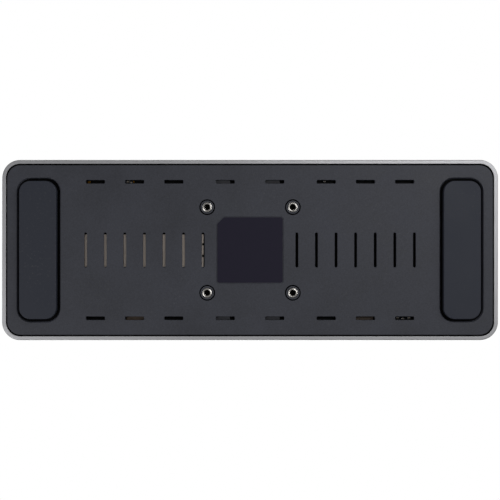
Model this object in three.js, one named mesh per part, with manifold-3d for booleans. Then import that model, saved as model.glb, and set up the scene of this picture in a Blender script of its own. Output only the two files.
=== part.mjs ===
// A laptop docking station, modelled as the separate pieces that it comes apart into.
// Millimetres. X runs along the length, -Y is the front with the power button, +Z is up.
// The origin is the centre of the footprint, on the surface that the rubber feet stand on.

import * as THREE from "three";
import { mergeVertices } from "three/addons/utils/BufferGeometryUtils.js";
import Module from "manifold-3d";

const wasm = await Module();
wasm.setup();

// ---------------------------------------------------------------- driving dimensions

const BODY = { length: 220, width: 80, top: 28, corner: 8, wall: 1.75, roof: 1.8, edge: 1.2, rim: 1.6 };
const CAVITY = {
  length: BODY.length - 2 * BODY.wall,
  width: BODY.width - 2 * BODY.wall,
  corner: BODY.corner - BODY.wall,
  ceiling: BODY.top - BODY.roof,
};
const LEDGE = { width: 1.5, low: 3.4, high: 4.8 };
const PLATE = { gap: 0.35, low: 2.0, high: 3.2 };

const FOOT = { x: 93.9, width: 16.5, length: 61.2, corner: 5, high: 2.9, edge: 0.7 };
const POCKET = { width: 19, length: 63.8, corner: 6, floor: 3.0, pad: 4.2, rim: 1.2 };
const LABEL = { side: 29, corner: 1, clip: 2.9, low: 2.08, high: 2.25, floor: 2.3, gap: 0.4 };

const SLOTS = { count: 7, first: 20.8, pitch: 8.7, length: 15.5, width: 1.2 };
const EDGE_SLOTS = { y: 30.3, x: [11, 33.85, 51.25, 68.65], length: 8.4, width: 1.55, corner: 0.35 };

const NUT = { pitch: 38, low: 1.45, gap: 0.15, radius: 2.1, bore: 1.25, boreTop: 6.6, top: 7.2 };
const NUT_FLANGE = { radius: 3.2, low: 3.3, high: 4.4 };
const BOSS = { outer: 3.4, inner: 2.9, low: 1.6 };

const MAIN_BOARD = { length: 176, width: 72.8, low: 5.8, high: 7.4, corner: 2 };
const PORT_BOARD = { length: 152, front: -36.4, rear: -18.4, low: 10, high: 11.6 };
const BUTTON_NOTCH = { left: -76, right: -63, rear: -34.5 };

const COVER_SCREW = { y: 22, column: 3.4, columnLow: 4.5, hole: 1.7, holeTop: 12, clearance: 1.95, sink: 3.15 };
const COVER_SCREW_HEAD = { radius: 2.7, low: 3.15, edge: 3.3, neck: 4.5, shank: 1.5, top: 11 };
const BOARD_SCREW = { x: 84, y: 31, post: 2.9, hole: 1.4, clearance: 1.6 };
const PORT_SCREW = { x: 72.5, y: -22, post: 2.5 };
const SCREW = { head: 2.4, headHeight: 1.1, shank: 1.25, length: 6.8 };

const WINDOW = { length: 160, height: 18.4, corner: 3, z: 14.8, gap: 0.3 };
const PANEL = { face: 39.2, shoulder: 37.95, back: 36.95, sideFlange: 2, edgeFlange: 0.6 };
const PORTS = { mouth: 39, seat: 0.1, gap: 0.3, holeCorner: 0.8 };
const POWER_JACK = {
  width: 9, depth: 14, height: 11, z: 6.5, hole: 3.15, holeDepth: 9.5, pin: 1, pinBack: -13.7, pinTip: -1.2,
};
const REVERSIBLE = {
  width: 8.94, height: 3.26, sheet: 0.31, depth: 7.35, z: 1.7,
  base: { width: 8, height: 2.34, back: -7.2, front: -5.2 },
  blade: { width: 6.69, height: 0.7, corner: 0.2, tip: -0.9 },
};
const WIDE = {
  mouth: { width: 12.5, height: 5.12, corner: 0.4 },
  blade: { width: 11.1, height: 1.84, corner: 0.2, above: 0.9 },
};
const WIDE_SINGLE = { width: 14, depth: 14, low: 0.1, high: 6.1, sheet: 0.3, base: 3.2, tip: -1, levels: [3.1] };
const WIDE_DOUBLE = { ...WIDE_SINGLE, depth: 17.2, high: 15.2, levels: [3.7, 11.3] };
const DISPLAY = {
  width: 17.4, depth: 18, low: 0.1, high: 15.1, sheet: 0.4, base: 3.5, tip: -1.2,
  mouths: [
    [[-7, 5.9], [-7, 3.2], [-5.4, 1.35], [5.4, 1.35], [7, 3.2], [7, 5.9]],
    [[-8.05, 13.4], [-8.05, 8.6], [6, 8.6], [8.05, 10.6], [8.05, 13.4]],
  ],
  blades: [{ width: 11.2, height: 1.1, z: 4.4 }, { width: 12.8, height: 1.2, z: 11.6 }],
};
const NETWORK = {
  width: 16, depth: 21, height: 13.3, mouthDepth: 13, steps: [[5.85, 1.6, 8.4], [3.1, 8, 10.4], [1.9, 10, 11.8]],
};
const AUDIO = { width: 7, height: 6.2, depth: 14, shoulder: 3.4, collar: 2.9, hole: 1.8, holeDepth: 12 };
const CARD = { width: 28, height: 3.4, depth: 17.5, mouth: { width: 24.6, height: 2.3, corner: 0.3, depth: 15.5 } };
const LOCK = { y: 12, width: 7, height: 3, corner: 1 };
const LOCK_PLATE = { width: 14, height: 12, left: 105.9, right: 107.9, gap: 0.3 };

const SPREADER = { left: -77, right: -20.7, front: -6.9, rear: 7.5, low: 3.7, high: 4.7, notch: 1, notchDepth: 0.6 };
const STIFFENER = { length: 36, width: 7, y: 30.8, low: 3.5, high: 4.4 };
const HEAT_SINK = { length: 60, width: 32, low: 9.3, base: 11.6, top: 25.7, fins: 9, fin: 1.5 };

const BUTTON = { x: -70, face: -39.9, radius: 4.4, gap: 0.3 };
const BUTTON_FLANGE = { radius: 5.4, front: -36.7, rear: -35.9 };

const THROUGH = 5; // a height above the base plate, where the cutters of its holes end
const ROUND = 16; // sides of a round hole, pin or post
const CORNER_STEPS = 3; // half the number of sides in a rounded corner
const SLOT_STEPS = 1; // the same, in the narrow slots of the base plate

// ---------------------------------------------------------------- shapes

// A rectangle with rounded corners, centred on x, y.
function outline(width, height, radius, x = 0, y = 0) {
  const right = x + width / 2 - radius;
  const left = x - width / 2 + radius;
  const high = y + height / 2 - radius;
  const low = y - height / 2 + radius;
  const shape = new THREE.Shape();
  shape.absarc(right, high, radius, 0, Math.PI / 2);
  shape.absarc(left, high, radius, Math.PI / 2, Math.PI);
  shape.absarc(left, low, radius, Math.PI, 1.5 * Math.PI);
  shape.absarc(right, low, radius, 1.5 * Math.PI, 2 * Math.PI);
  return shape;
}

// A square with three rounded corners and the one at -X, -Y clipped off.
function clippedSquare(side, radius, clip) {
  const half = side / 2;
  const shape = new THREE.Shape();
  shape.absarc(half - radius, half - radius, radius, 0, Math.PI / 2);
  shape.absarc(radius - half, half - radius, radius, Math.PI / 2, Math.PI);
  shape.lineTo(-half, clip - half);
  shape.lineTo(clip - half, -half);
  shape.absarc(half - radius, radius - half, radius, 1.5 * Math.PI, 2 * Math.PI);
  return shape;
}

// A shape drawn in X, Y and raised from low to high.
function slab(shape, low, high, steps = CORNER_STEPS) {
  const settings = { depth: high - low, bevelEnabled: false, curveSegments: steps };
  return new THREE.ExtrudeGeometry(shape, settings).translate(0, 0, low);
}

// A shape drawn in X, Z and carried along Y from front to rear.
function barY(shape, front, rear) {
  return slab(shape, 0, rear - front).rotateX(Math.PI / 2).translate(0, rear, 0);
}

// A shape drawn in Z, Y and carried along X from left to right, about the height z.
function barX(shape, left, right, y = 0, z = 0) {
  return slab(shape, 0, right - left).rotateY(Math.PI / 2).translate(left, y, z);
}

// A rounded block whose upper and lower rims are rounded too.
function pillow(width, height, radius, low, high, edge, rimSteps) {
  const settings = {
    depth: high - low - 2 * edge,
    bevelThickness: edge,
    bevelSize: edge,
    bevelSegments: rimSteps,
    curveSegments: CORNER_STEPS,
  };
  const inner = outline(width - 2 * edge, height - 2 * edge, radius - edge);
  return new THREE.ExtrudeGeometry(inner, settings).translate(0, 0, low + edge);
}

// A plain block between two corners.
function block(from, to) {
  const size = to.map((value, i) => value - from[i]);
  const centre = to.map((value, i) => (value + from[i]) / 2);
  return new THREE.BoxGeometry(...size).translate(...centre);
}

// A round piece about the Z axis, from pairs of radius and height that start and end on the axis.
function turned(profile) {
  return turnedY(profile).rotateX(Math.PI / 2);
}

// The same about the Y axis.
function turnedY(profile) {
  const points = profile.map(([radius, height]) => new THREE.Vector2(radius, height));
  return new THREE.LatheGeometry(points, ROUND);
}

// A cone or a cylinder about the Z axis.
function taper(lowRadius, highRadius, low, high) {
  const profile = [[0, low], [lowRadius, low], [highRadius, high], [0, high]];
  return turned(profile);
}

function rod(radius, low, high) {
  return taper(radius, radius, low, high);
}

function rodY(radius, front, rear) {
  return turnedY([[0, front], [radius, front], [radius, rear], [0, rear]]);
}

// ---------------------------------------------------------------- joining and cutting

function solidOf(geometry) {
  const bare = geometry.clone();
  bare.deleteAttribute("normal");
  bare.deleteAttribute("uv");
  const merged = mergeVertices(bare, 1e-4);
  const mesh = new wasm.Mesh({
    numProp: 3,
    vertProperties: new Float32Array(merged.attributes.position.array),
    triVerts: new Uint32Array(merged.index.array),
  });
  return new wasm.Manifold(mesh);
}

function geometryOf(solid) {
  const { vertProperties, triVerts } = solid.getMesh();
  const geometry = new THREE.BufferGeometry();
  geometry.setAttribute("position", new THREE.BufferAttribute(vertProperties, 3));
  geometry.setIndex(new THREE.BufferAttribute(triVerts, 1));
  geometry.computeVertexNormals();
  return geometry;
}

function weld(first, ...others) {
  return geometryOf(others.reduce((whole, piece) => whole.add(solidOf(piece)), solidOf(first)));
}

function carve(first, ...tools) {
  return geometryOf(tools.reduce((whole, tool) => whole.subtract(solidOf(tool)), solidOf(first)));
}

// ---------------------------------------------------------------- places that repeat

const SIDES = [-1, 1];
const QUADRANTS = SIDES.flatMap((x) => SIDES.map((y) => [x, y]));

const nutPlaces = QUADRANTS.map(([x, y]) => [(x * NUT.pitch) / 2, (y * NUT.pitch) / 2]);
const coverScrewPlaces = QUADRANTS.map(([x, y]) => [x * FOOT.x, y * COVER_SCREW.y]);
const boardScrewPlaces = QUADRANTS.map(([x, y]) => [x * BOARD_SCREW.x, y * BOARD_SCREW.y]);
const portScrewPlaces = SIDES.map((x) => [x * PORT_SCREW.x, PORT_SCREW.y]);

const atEach = (places, make) => places.map(([x, y]) => make().translate(x, y, 0));

// ---------------------------------------------------------------- enclosure

function topShell() {
  const outside = pillow(BODY.length, BODY.width, BODY.corner, BODY.rim - 3, BODY.top, BODY.edge, 3);
  const hollow = slab(outline(CAVITY.length, CAVITY.width, CAVITY.corner), -5, CAVITY.ceiling);
  const belowRim = block([-150, -80, -10], [150, 80, BODY.rim]);
  const window = outline(WINDOW.length, WINDOW.height, WINDOW.corner, 0, WINDOW.z);
  const lockHole = outline(LOCK.height, LOCK.width, LOCK.corner);
  const tub = carve(
    outside,
    hollow,
    belowRim,
    barY(window, -45, -37),
    barY(window, 37, 45),
    barX(lockHole, 105, 115, LOCK.y, WINDOW.z),
  );

  const ledgeOutside = outline(CAVITY.length + 0.4, CAVITY.width + 0.4, CAVITY.corner + 0.2);
  const inset = 2 * LEDGE.width;
  const ledgeInside = outline(CAVITY.length - inset, CAVITY.width - inset, CAVITY.corner - LEDGE.width);
  const ledge = carve(
    slab(ledgeOutside, LEDGE.low, LEDGE.high),
    slab(ledgeInside, LEDGE.low - 1, LEDGE.high + 1),
  );

  const intoRoof = CAVITY.ceiling + 0.5;
  const boardPostLow = MAIN_BOARD.high + 0.2;
  const portPostLow = PORT_BOARD.high + 0.2;
  const whole = weld(
    tub,
    ledge,
    ...atEach(coverScrewPlaces, () => rod(COVER_SCREW.column, COVER_SCREW.columnLow, intoRoof)),
    ...atEach(boardScrewPlaces, () => rod(BOARD_SCREW.post, boardPostLow, intoRoof)),
    ...atEach(portScrewPlaces, () => rod(PORT_SCREW.post, portPostLow, intoRoof)),
  );
  return carve(
    whole,
    ...atEach(coverScrewPlaces, () => rod(COVER_SCREW.hole, 0, COVER_SCREW.holeTop)),
    ...atEach(boardScrewPlaces, () => rod(BOARD_SCREW.hole, 0, boardPostLow + 6)),
    ...atEach(portScrewPlaces, () => rod(BOARD_SCREW.hole, 0, portPostLow + 6)),
  );
}

function bottomPlate() {
  const inset = 2 * PLATE.gap;
  const rimmed = 2 * POCKET.rim;
  const sheet = slab(
    outline(CAVITY.length - inset, CAVITY.width - inset, CAVITY.corner - PLATE.gap),
    PLATE.low,
    PLATE.high,
  );
  const padShape = outline(POCKET.width + rimmed, POCKET.length + rimmed, POCKET.corner + POCKET.rim);
  const pads = SIDES.map((side) => slab(padShape, PLATE.low + 0.5, POCKET.pad).translate(side * FOOT.x, 0, 0));

  const pocket = outline(POCKET.width, POCKET.length, POCKET.corner);
  const pockets = SIDES.map((side) => slab(pocket, 0, POCKET.floor).translate(side * FOOT.x, 0, 0));
  const labelSide = LABEL.side + 2 * LABEL.gap;
  const labelShape = clippedSquare(labelSide, LABEL.corner + LABEL.gap, LABEL.clip + 0.5 * LABEL.gap);

  const slotShape = outline(SLOTS.width, SLOTS.length, SLOTS.width / 2);
  const slots = [];
  for (const side of SIDES) {
    for (let i = 0; i < SLOTS.count; i++) {
      const x = side * (SLOTS.first + i * SLOTS.pitch);
      slots.push(slab(slotShape, 0, THROUGH, SLOT_STEPS).translate(x, 0, 0));
    }
  }
  const edgeShape = outline(EDGE_SLOTS.length, EDGE_SLOTS.width, EDGE_SLOTS.corner);
  for (const [sideX, sideY] of QUADRANTS) {
    for (const x of EDGE_SLOTS.x) {
      slots.push(slab(edgeShape, 0, THROUGH, SLOT_STEPS).translate(sideX * x, sideY * EDGE_SLOTS.y, 0));
    }
  }

  const boss = () => weld(taper(BOSS.inner, BOSS.outer, BOSS.low, PLATE.low), rod(BOSS.outer, PLATE.low, PLATE.high));
  const depth = POCKET.pad - POCKET.floor;
  const slope = (COVER_SCREW.sink - COVER_SCREW.clearance) / depth;
  const sink = () =>
    taper(COVER_SCREW.sink + slope, COVER_SCREW.clearance, POCKET.floor - 1, POCKET.pad);
  return carve(
    weld(sheet, ...pads, ...atEach(nutPlaces, boss)),
    ...pockets,
    ...slots,
    slab(labelShape, 0, LABEL.floor),
    ...atEach(nutPlaces, () => rod(NUT.radius + NUT.gap, 0, THROUGH)),
    ...atEach(coverScrewPlaces, sink),
    ...atEach(coverScrewPlaces, () => rod(COVER_SCREW.clearance, POCKET.floor, THROUGH)),
  );
}

const foot = () => pillow(FOOT.width, FOOT.length, FOOT.corner, 0, FOOT.high, FOOT.edge, 1);

const ratingLabel = () => slab(clippedSquare(LABEL.side, LABEL.corner, LABEL.clip), LABEL.low, LABEL.high);

// A threaded nut pressed into the base plate: a barrel with a flange and a blind hole.
function mountNut() {
  return turned([
    [0, NUT.boreTop],
    [NUT.bore, NUT.boreTop],
    [NUT.bore, NUT.low],
    [NUT.radius, NUT.low],
    [NUT.radius, NUT_FLANGE.low],
    [NUT_FLANGE.radius, NUT_FLANGE.low],
    [NUT_FLANGE.radius, NUT_FLANGE.high],
    [NUT.radius, NUT_FLANGE.high],
    [NUT.radius, NUT.top],
    [0, NUT.top],
  ]);
}

// A flat-headed screw, from its head up.
function coverScrew() {
  const { radius, low, edge, neck, shank, top } = COVER_SCREW_HEAD;
  return turned([[0, low], [radius, low], [radius, edge], [shank, neck], [shank, top], [0, top]]);
}

// A pan-headed screw whose head bears on a board at the height given.
function boardScrew(boardLow) {
  const bearing = boardLow - 0.1;
  const low = bearing - SCREW.headHeight;
  const tip = bearing + SCREW.length;
  const { head, shank } = SCREW;
  return turned([[0, low], [head, low], [head, bearing], [shank, bearing], [shank, tip], [0, tip]]);
}

// A steel plate behind the lock slot. Its outlines are drawn on their sides: height first, then width.
function lockPlate() {
  const { left, right, gap } = LOCK_PLATE;
  const sheet = barX(outline(LOCK_PLATE.height, LOCK_PLATE.width, LOCK.corner), left, right, LOCK.y, WINDOW.z);
  const hole = outline(LOCK.height + 2 * gap, LOCK.width + 2 * gap, LOCK.corner);
  return carve(sheet, barX(hole, left - 1, right + 1, LOCK.y, WINDOW.z));
}

// A strip inside the base plate, behind the short slots on each side of the label.
const stiffener = (side) =>
  slab(outline(STIFFENER.length, STIFFENER.width, 1, 0, side * STIFFENER.y), STIFFENER.low, STIFFENER.high);

// ---------------------------------------------------------------- boards and what they carry

function mainBoard() {
  const sheet = slab(
    outline(MAIN_BOARD.length, MAIN_BOARD.width, MAIN_BOARD.corner),
    MAIN_BOARD.low,
    MAIN_BOARD.high,
  );
  return carve(
    sheet,
    ...atEach(boardScrewPlaces, () => rod(BOARD_SCREW.clearance, 5, 9)),
    ...atEach(nutPlaces, () => rod(NUT_FLANGE.radius + 0.8, 5, 9)),
  );
}

function portBoard() {
  const half = PORT_BOARD.length / 2;
  const sheet = block([-half, PORT_BOARD.front, PORT_BOARD.low], [half, PORT_BOARD.rear, PORT_BOARD.high]);
  const notch = block([BUTTON_NOTCH.left - 1, -40, 9], [BUTTON_NOTCH.right, BUTTON_NOTCH.rear, 13]);
  return carve(sheet, notch, ...atEach(portScrewPlaces, () => rod(BOARD_SCREW.clearance, 9, 13)));
}

// A comb of upright fins, carried along X.
function heatSink() {
  const { length, width, low, base, top, fins, fin } = HEAT_SINK;
  const pitch = (width - fin) / (fins - 1);
  const comb = new THREE.Shape();
  comb.moveTo(-low, -width / 2);
  comb.lineTo(-low, width / 2);
  for (let i = fins - 1; i >= 0; i--) {
    const left = -width / 2 + i * pitch;
    comb.lineTo(-top, left + fin);
    comb.lineTo(-top, left);
    if (i > 0) {
      comb.lineTo(-base, left);
      comb.lineTo(-base, left - pitch + fin);
    }
  }
  return barX(comb, -length / 2, length / 2);
}

// The plate under the board that draws heat to the slots, with two small notches in its right edge.
function heatSpreader() {
  const { left, right, front, rear, low, high, notch, notchDepth } = SPREADER;
  const sheet = block([left, front, low], [right, rear, high]);
  const notches = [-2.6, 2.6].map((y) =>
    block([right - notchDepth, y - notch / 2, low - 1], [right + 1, y + notch / 2, high + 1]),
  );
  return carve(sheet, ...notches);
}

// ---------------------------------------------------------------- power button

function powerButton() {
  return turnedY([
    [0, BUTTON.face],
    [BUTTON.radius - 0.4, BUTTON.face],
    [BUTTON.radius, BUTTON.face + 0.4],
    [BUTTON.radius, BUTTON_FLANGE.front],
    [BUTTON_FLANGE.radius, BUTTON_FLANGE.front],
    [BUTTON_FLANGE.radius, BUTTON_FLANGE.rear],
    [1.5, BUTTON_FLANGE.rear],
    [1.5, -33],
    [0, -33],
  ]);
}

function powerSwitch() {
  const body = block([-3, -31.5, PORT_BOARD.high + 0.1 - WINDOW.z], [3, -27.5, 3.1]);
  return carve(body, rodY(1.2, -33, -30));
}

// A clear rod that carries the light of a lamp on the port board to the front panel.
function lightPipe() {
  const foot = block([-1.5, -34, PORT_BOARD.high + 0.1 - WINDOW.z], [1.5, -31, 1.2]);
  return weld(rodY(0.9, -39.3, -33), foot);
}

// ---------------------------------------------------------------- ports
// Each port is drawn with its mouth at Y = 0 facing +Y and the top of its board at Z = 0. Its function gives
// its pieces, as name endings with their geometry and finish, and the holes that its panel needs.

// The hole that a panel has round a socket's box.
const around = (width, low, high) =>
  outline(width + 2 * PORTS.gap, high - low + 2 * PORTS.gap, PORTS.holeCorner, 0, (low + high) / 2);

function powerJack() {
  const { width, depth, height, z, hole, holeDepth, pin, pinBack, pinTip } = POWER_JACK;
  const body = block([-width / 2, -depth, 0], [width / 2, 0, height]);
  const mouth = rodY(hole, -holeDepth, 1).translate(0, 0, z);
  const pinHole = rodY(pin + PORTS.gap, -depth - 1, 0).translate(0, 0, z);
  return {
    pieces: [
      ["", carve(body, mouth, pinHole), FINISH.blackPlastic],
      ["_pin", rodY(pin, pinBack, pinTip).translate(0, 0, z), FINISH.tin],
    ],
    holes: [around(width, 0, height)],
  };
}

function reversibleSocket() {
  const { width, height, sheet, depth, z, base, blade } = REVERSIBLE;
  const capsule = (grow, end) => outline(width + 2 * grow, height + 2 * grow, height / 2 + grow - end, 0, z);
  const shell = carve(barY(capsule(0, 0.03), -depth, 0), barY(capsule(-sheet, 0.03), -depth - 1, 1));
  const foot = barY(outline(base.width, base.height, base.height / 2 - 0.07, 0, z), base.back, base.front);
  const tongue = barY(outline(blade.width, blade.height, blade.corner, 0, z), base.front - 0.3, blade.tip);
  return {
    pieces: [
      ["_shell", shell, FINISH.steel],
      ["_tongue", weld(foot, tongue), FINISH.blackPlastic],
    ],
    holes: [capsule(PORTS.gap, 0.03)],
  };
}

// A box of sheet metal with mouths at the front and a moulding with one tongue for each mouth, held at the back.
function shieldedSocket(shield, mouths, tongues, ending, finish) {
  const { width, depth, low, high, sheet, base, tip } = shield;
  const half = width / 2;
  const side = half - sheet;
  const inside = PORTS.gap;
  const body = block([-half, -depth, low], [half, 0, high]);
  const backPocket = block([-side, -depth - 1, low + sheet], [side, base + 0.4 - depth, high - sheet]);
  const foot = block(
    [inside - side, 0.2 - depth, low + sheet + inside],
    [side - inside, base + 0.2 - depth, high - sheet - inside],
  );
  const blades = tongues.map((shape) => barY(shape, base - 0.2 - depth, tip));
  return {
    pieces: [
      ["_shell", carve(body, backPocket, ...mouths.map((shape) => barY(shape, -depth - 1, 1))), FINISH.steel],
      [ending, weld(foot, ...blades), finish],
    ],
    holes: [around(width, low, high)],
  };
}

// One or two wide data sockets above each other.
function wideSocket(shield) {
  const { mouth, blade } = WIDE;
  const mouths = shield.levels.map((z) => outline(mouth.width, mouth.height, mouth.corner, 0, z));
  const tongues = shield.levels.map((z) => outline(blade.width, blade.height, blade.corner, 0, z + blade.above));
  return shieldedSocket(shield, mouths, tongues, "_tongue", FINISH.bluePlastic);
}

// Two display sockets above each other: the lower one narrows downwards, the upper has one clipped corner.
function displayStack() {
  const mouths = DISPLAY.mouths.map((corners) => {
    const shape = new THREE.Shape();
    shape.setFromPoints(corners.map(([x, z]) => new THREE.Vector2(x, z)));
    return shape;
  });
  const tongues = DISPLAY.blades.map(({ width, height, z }) => outline(width, height, 0.2, 0, z));
  return shieldedSocket(DISPLAY, mouths, tongues, "_insert", FINISH.blackPlastic);
}

// The network socket: a plug space with two steps above it for the plug's latch.
function networkJack() {
  const { width, depth, height, steps, mouthDepth } = NETWORK;
  const body = block([-width / 2, -depth, 0], [width / 2, 0, height]);
  const mouths = steps.map(([half, low, high]) => block([-half, -mouthDepth, low], [half, 1, high]));
  return {
    pieces: [["", carve(body, ...mouths), FINISH.steel]],
    holes: [around(width, 0, height)],
  };
}

function audioJack() {
  const { width, height, depth, shoulder, collar, hole, holeDepth } = AUDIO;
  const z = height / 2;
  const body = block([-width / 2, -depth, 0], [width / 2, -shoulder, height]);
  const tube = rodY(collar, -shoulder - 0.6, 0).translate(0, 0, z);
  const panelHole = 2 * (collar + PORTS.gap);
  return {
    pieces: [["", carve(weld(body, tube), rodY(hole, -holeDepth, 1).translate(0, 0, z)), FINISH.blackPlastic]],
    holes: [outline(panelHole, panelHole, panelHole / 2 - 0.001, 0, z)],
  };
}

function cardSlot() {
  const { width, height, depth, mouth } = CARD;
  const body = block([-width / 2, -depth, 0], [width / 2, 0, height]);
  const opening = barY(outline(mouth.width, mouth.height, mouth.corner, 0, height / 2), -mouth.depth, 1);
  return {
    pieces: [["", carve(body, opening), FINISH.steel]],
    holes: [around(width, 0, height)],
  };
}

// ---------------------------------------------------------------- finishes

const finish = (color, roughness, metalness) => new THREE.MeshStandardMaterial({ color, roughness, metalness });

const FINISH = {
  shell: finish(0x8f9499, 0.38, 1),
  plate: finish(0x393b40, 0.62, 0.2),
  rubber: finish(0x303236, 0.85, 0),
  label: finish(0x25242b, 0.6, 0),
  zinc: finish(0xb9bcc0, 0.3, 1),
  screw: finish(0x4a4c50, 0.4, 1),
  board: finish(0x14532f, 0.5, 0),
  chip: finish(0x1b1c1e, 0.5, 0),
  pad: finish(0x7d8a94, 0.9, 0),
  aluminium: finish(0xa8a39b, 0.45, 1),
  steel: finish(0xa9abad, 0.35, 1),
  tin: finish(0xc4c2bb, 0.3, 1),
  blackPlastic: finish(0x17181a, 0.5, 0),
  bluePlastic: finish(0x1f3f78, 0.5, 0),
  clear: finish(0xdfe6ea, 0.15, 0),
};

// ---------------------------------------------------------------- assembly

const dock = new THREE.Group();

function add(name, geometry, material, parent = dock) {
  const mesh = new THREE.Mesh(geometry, material);
  mesh.name = name;
  parent.add(mesh);
  return mesh;
}

function addAtEach(name, places, make, material) {
  places.forEach(([x, y], i) => add(`${name}_${i + 1}`, make(), material).position.set(x, y, 0));
}

const REAR_PORTS = [
  ["dc_jack", -68, powerJack()],
  ["host_usb_c", -51, reversibleSocket()],
  ["device_usb_c", -36, reversibleSocket()],
  ["display_stack_1", -15, displayStack()],
  ["display_stack_2", 8, displayStack()],
  ["rear_usb_a_stack", 31, wideSocket(WIDE_DOUBLE)],
  ["network_jack", 54, networkJack()],
];

const FRONT_PORTS = [
  ["audio_jack", -46, audioJack()],
  ["card_slot", -20, cardSlot()],
  ["front_usb_c", 8, reversibleSocket()],
  ["front_usb_a_1", 32, wideSocket(WIDE_SINGLE)],
  ["front_usb_a_2", 56, wideSocket(WIDE_SINGLE)],
];

// The mouths of a row of ports share one plane; turn is half a turn for the row that faces the front.
function addPorts(ports, mouth, boardHigh, turn) {
  const row = new THREE.Group();
  row.position.set(0, mouth, boardHigh + PORTS.seat);
  row.rotation.z = turn;
  dock.add(row);
  const sign = Math.cos(turn);
  for (const [name, x, port] of ports) {
    for (const [ending, geometry, material] of port.pieces) {
      add(name + ending, geometry, material, row).position.x = sign * x;
    }
  }
}

// A panel with a nose that stands in the shell's window and a flange behind the wall. It is drawn as the rear
// panel; the front one is turned by half a turn, so its ports are given mirrored.
function portPanel(ports, boardHigh, sign, ...extraHoles) {
  const gap = 2 * WINDOW.gap;
  const nose = outline(WINDOW.length - gap, WINDOW.height - gap, WINDOW.corner - WINDOW.gap, 0, WINDOW.z);
  const flange = outline(
    WINDOW.length - gap + 2 * PANEL.sideFlange,
    WINDOW.height - gap + 2 * PANEL.edgeFlange,
    WINDOW.corner,
    0,
    WINDOW.z,
  );
  const body = weld(barY(nose, PANEL.back, PANEL.face), barY(flange, PANEL.back, PANEL.shoulder));
  const cutters = ports.flatMap(([, x, port]) =>
    port.holes.map((hole) => barY(hole, 30, 45).translate(sign * x, 0, boardHigh + PORTS.seat)),
  );
  return carve(body, ...cutters, ...extraHoles);
}

add("top_shell", topShell(), FINISH.shell);
add("bottom_plate", bottomPlate(), FINISH.plate);
add("foot_left", foot(), FINISH.rubber).position.x = -FOOT.x;
add("foot_right", foot(), FINISH.rubber).position.x = FOOT.x;
add("rating_label", ratingLabel(), FINISH.label);
addAtEach("mount_nut", nutPlaces, mountNut, FINISH.zinc);
addAtEach("cover_screw", coverScrewPlaces, coverScrew, FINISH.screw);
add("stiffener_front", stiffener(-1), FINISH.zinc);
add("stiffener_rear", stiffener(1), FINISH.zinc);
add("lock_plate", lockPlate(), FINISH.steel);

add("main_board", mainBoard(), FINISH.board);
addAtEach("board_screw", boardScrewPlaces, () => boardScrew(MAIN_BOARD.low), FINISH.screw);
add("port_board", portBoard(), FINISH.board);
addAtEach("port_board_screw", portScrewPlaces, () => boardScrew(PORT_BOARD.low), FINISH.screw);
add("board_header", block([-25, -32, 7.5], [5, -28, 9.9]), FINISH.blackPlastic);

add("controller_chip", block([-8.5, -8.5, 7.45], [8.5, 8.5, 8.65]), FINISH.chip);
add("heat_sink_pad", block([-8, -8, 8.72], [8, 8, 9.22]), FINISH.pad);
add("heat_sink", heatSink(), FINISH.aluminium);
add("heat_spreader", heatSpreader(), FINISH.aluminium);
add("spreader_pad", block([-70, -6.5, 4.77], [-28, 6.5, 5.73]), FINISH.pad);
add("network_transformer", block([45.5, 7, 7.5], [62.5, 14, 12.5]), FINISH.chip);
addAtEach("bulk_capacitor", [[-60, 4], [-49, 4]], () => rod(4, 7.5, 19.5), FINISH.chip);

add("power_button", powerButton(), FINISH.blackPlastic).position.set(BUTTON.x, 0, WINDOW.z);
add("switch_plunger", rodY(1, -32.8, -31), FINISH.steel).position.set(BUTTON.x, 0, WINDOW.z);
add("power_switch", powerSwitch(), FINISH.blackPlastic).position.set(BUTTON.x, 0, WINDOW.z);
add("light_pipe", lightPipe(), FINISH.clear).position.set(-58, 0, WINDOW.z);

addPorts(REAR_PORTS, PORTS.mouth, MAIN_BOARD.high, 0);
addPorts(FRONT_PORTS, -PORTS.mouth, PORT_BOARD.high, Math.PI);
add("rear_panel", portPanel(REAR_PORTS, MAIN_BOARD.high, 1), FINISH.blackPlastic);
const buttonHole = rodY(BUTTON.radius + BUTTON.gap, 30, 45).translate(-BUTTON.x, 0, WINDOW.z);
const lightHole = rodY(1.2, 30, 45).translate(58, 0, WINDOW.z);
const frontPanel = portPanel(FRONT_PORTS, PORT_BOARD.high, -1, buttonHole, lightHole);
add("front_panel", frontPanel, FINISH.blackPlastic).rotation.z = Math.PI;

export default dock;
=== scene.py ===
"""A laptop docking station: an aluminium tub closed by a slotted, powder-coated base plate.

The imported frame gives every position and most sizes. Each operator below makes one piece, or one group of
like pieces, from surfaces worked out on numpy grids. Lengths are in metres unless a comment says otherwise.
"""
import math

import bmesh
import bpy
import numpy as np
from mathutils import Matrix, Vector
from mathutils.geometry import delaunay_2d_cdt


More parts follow.
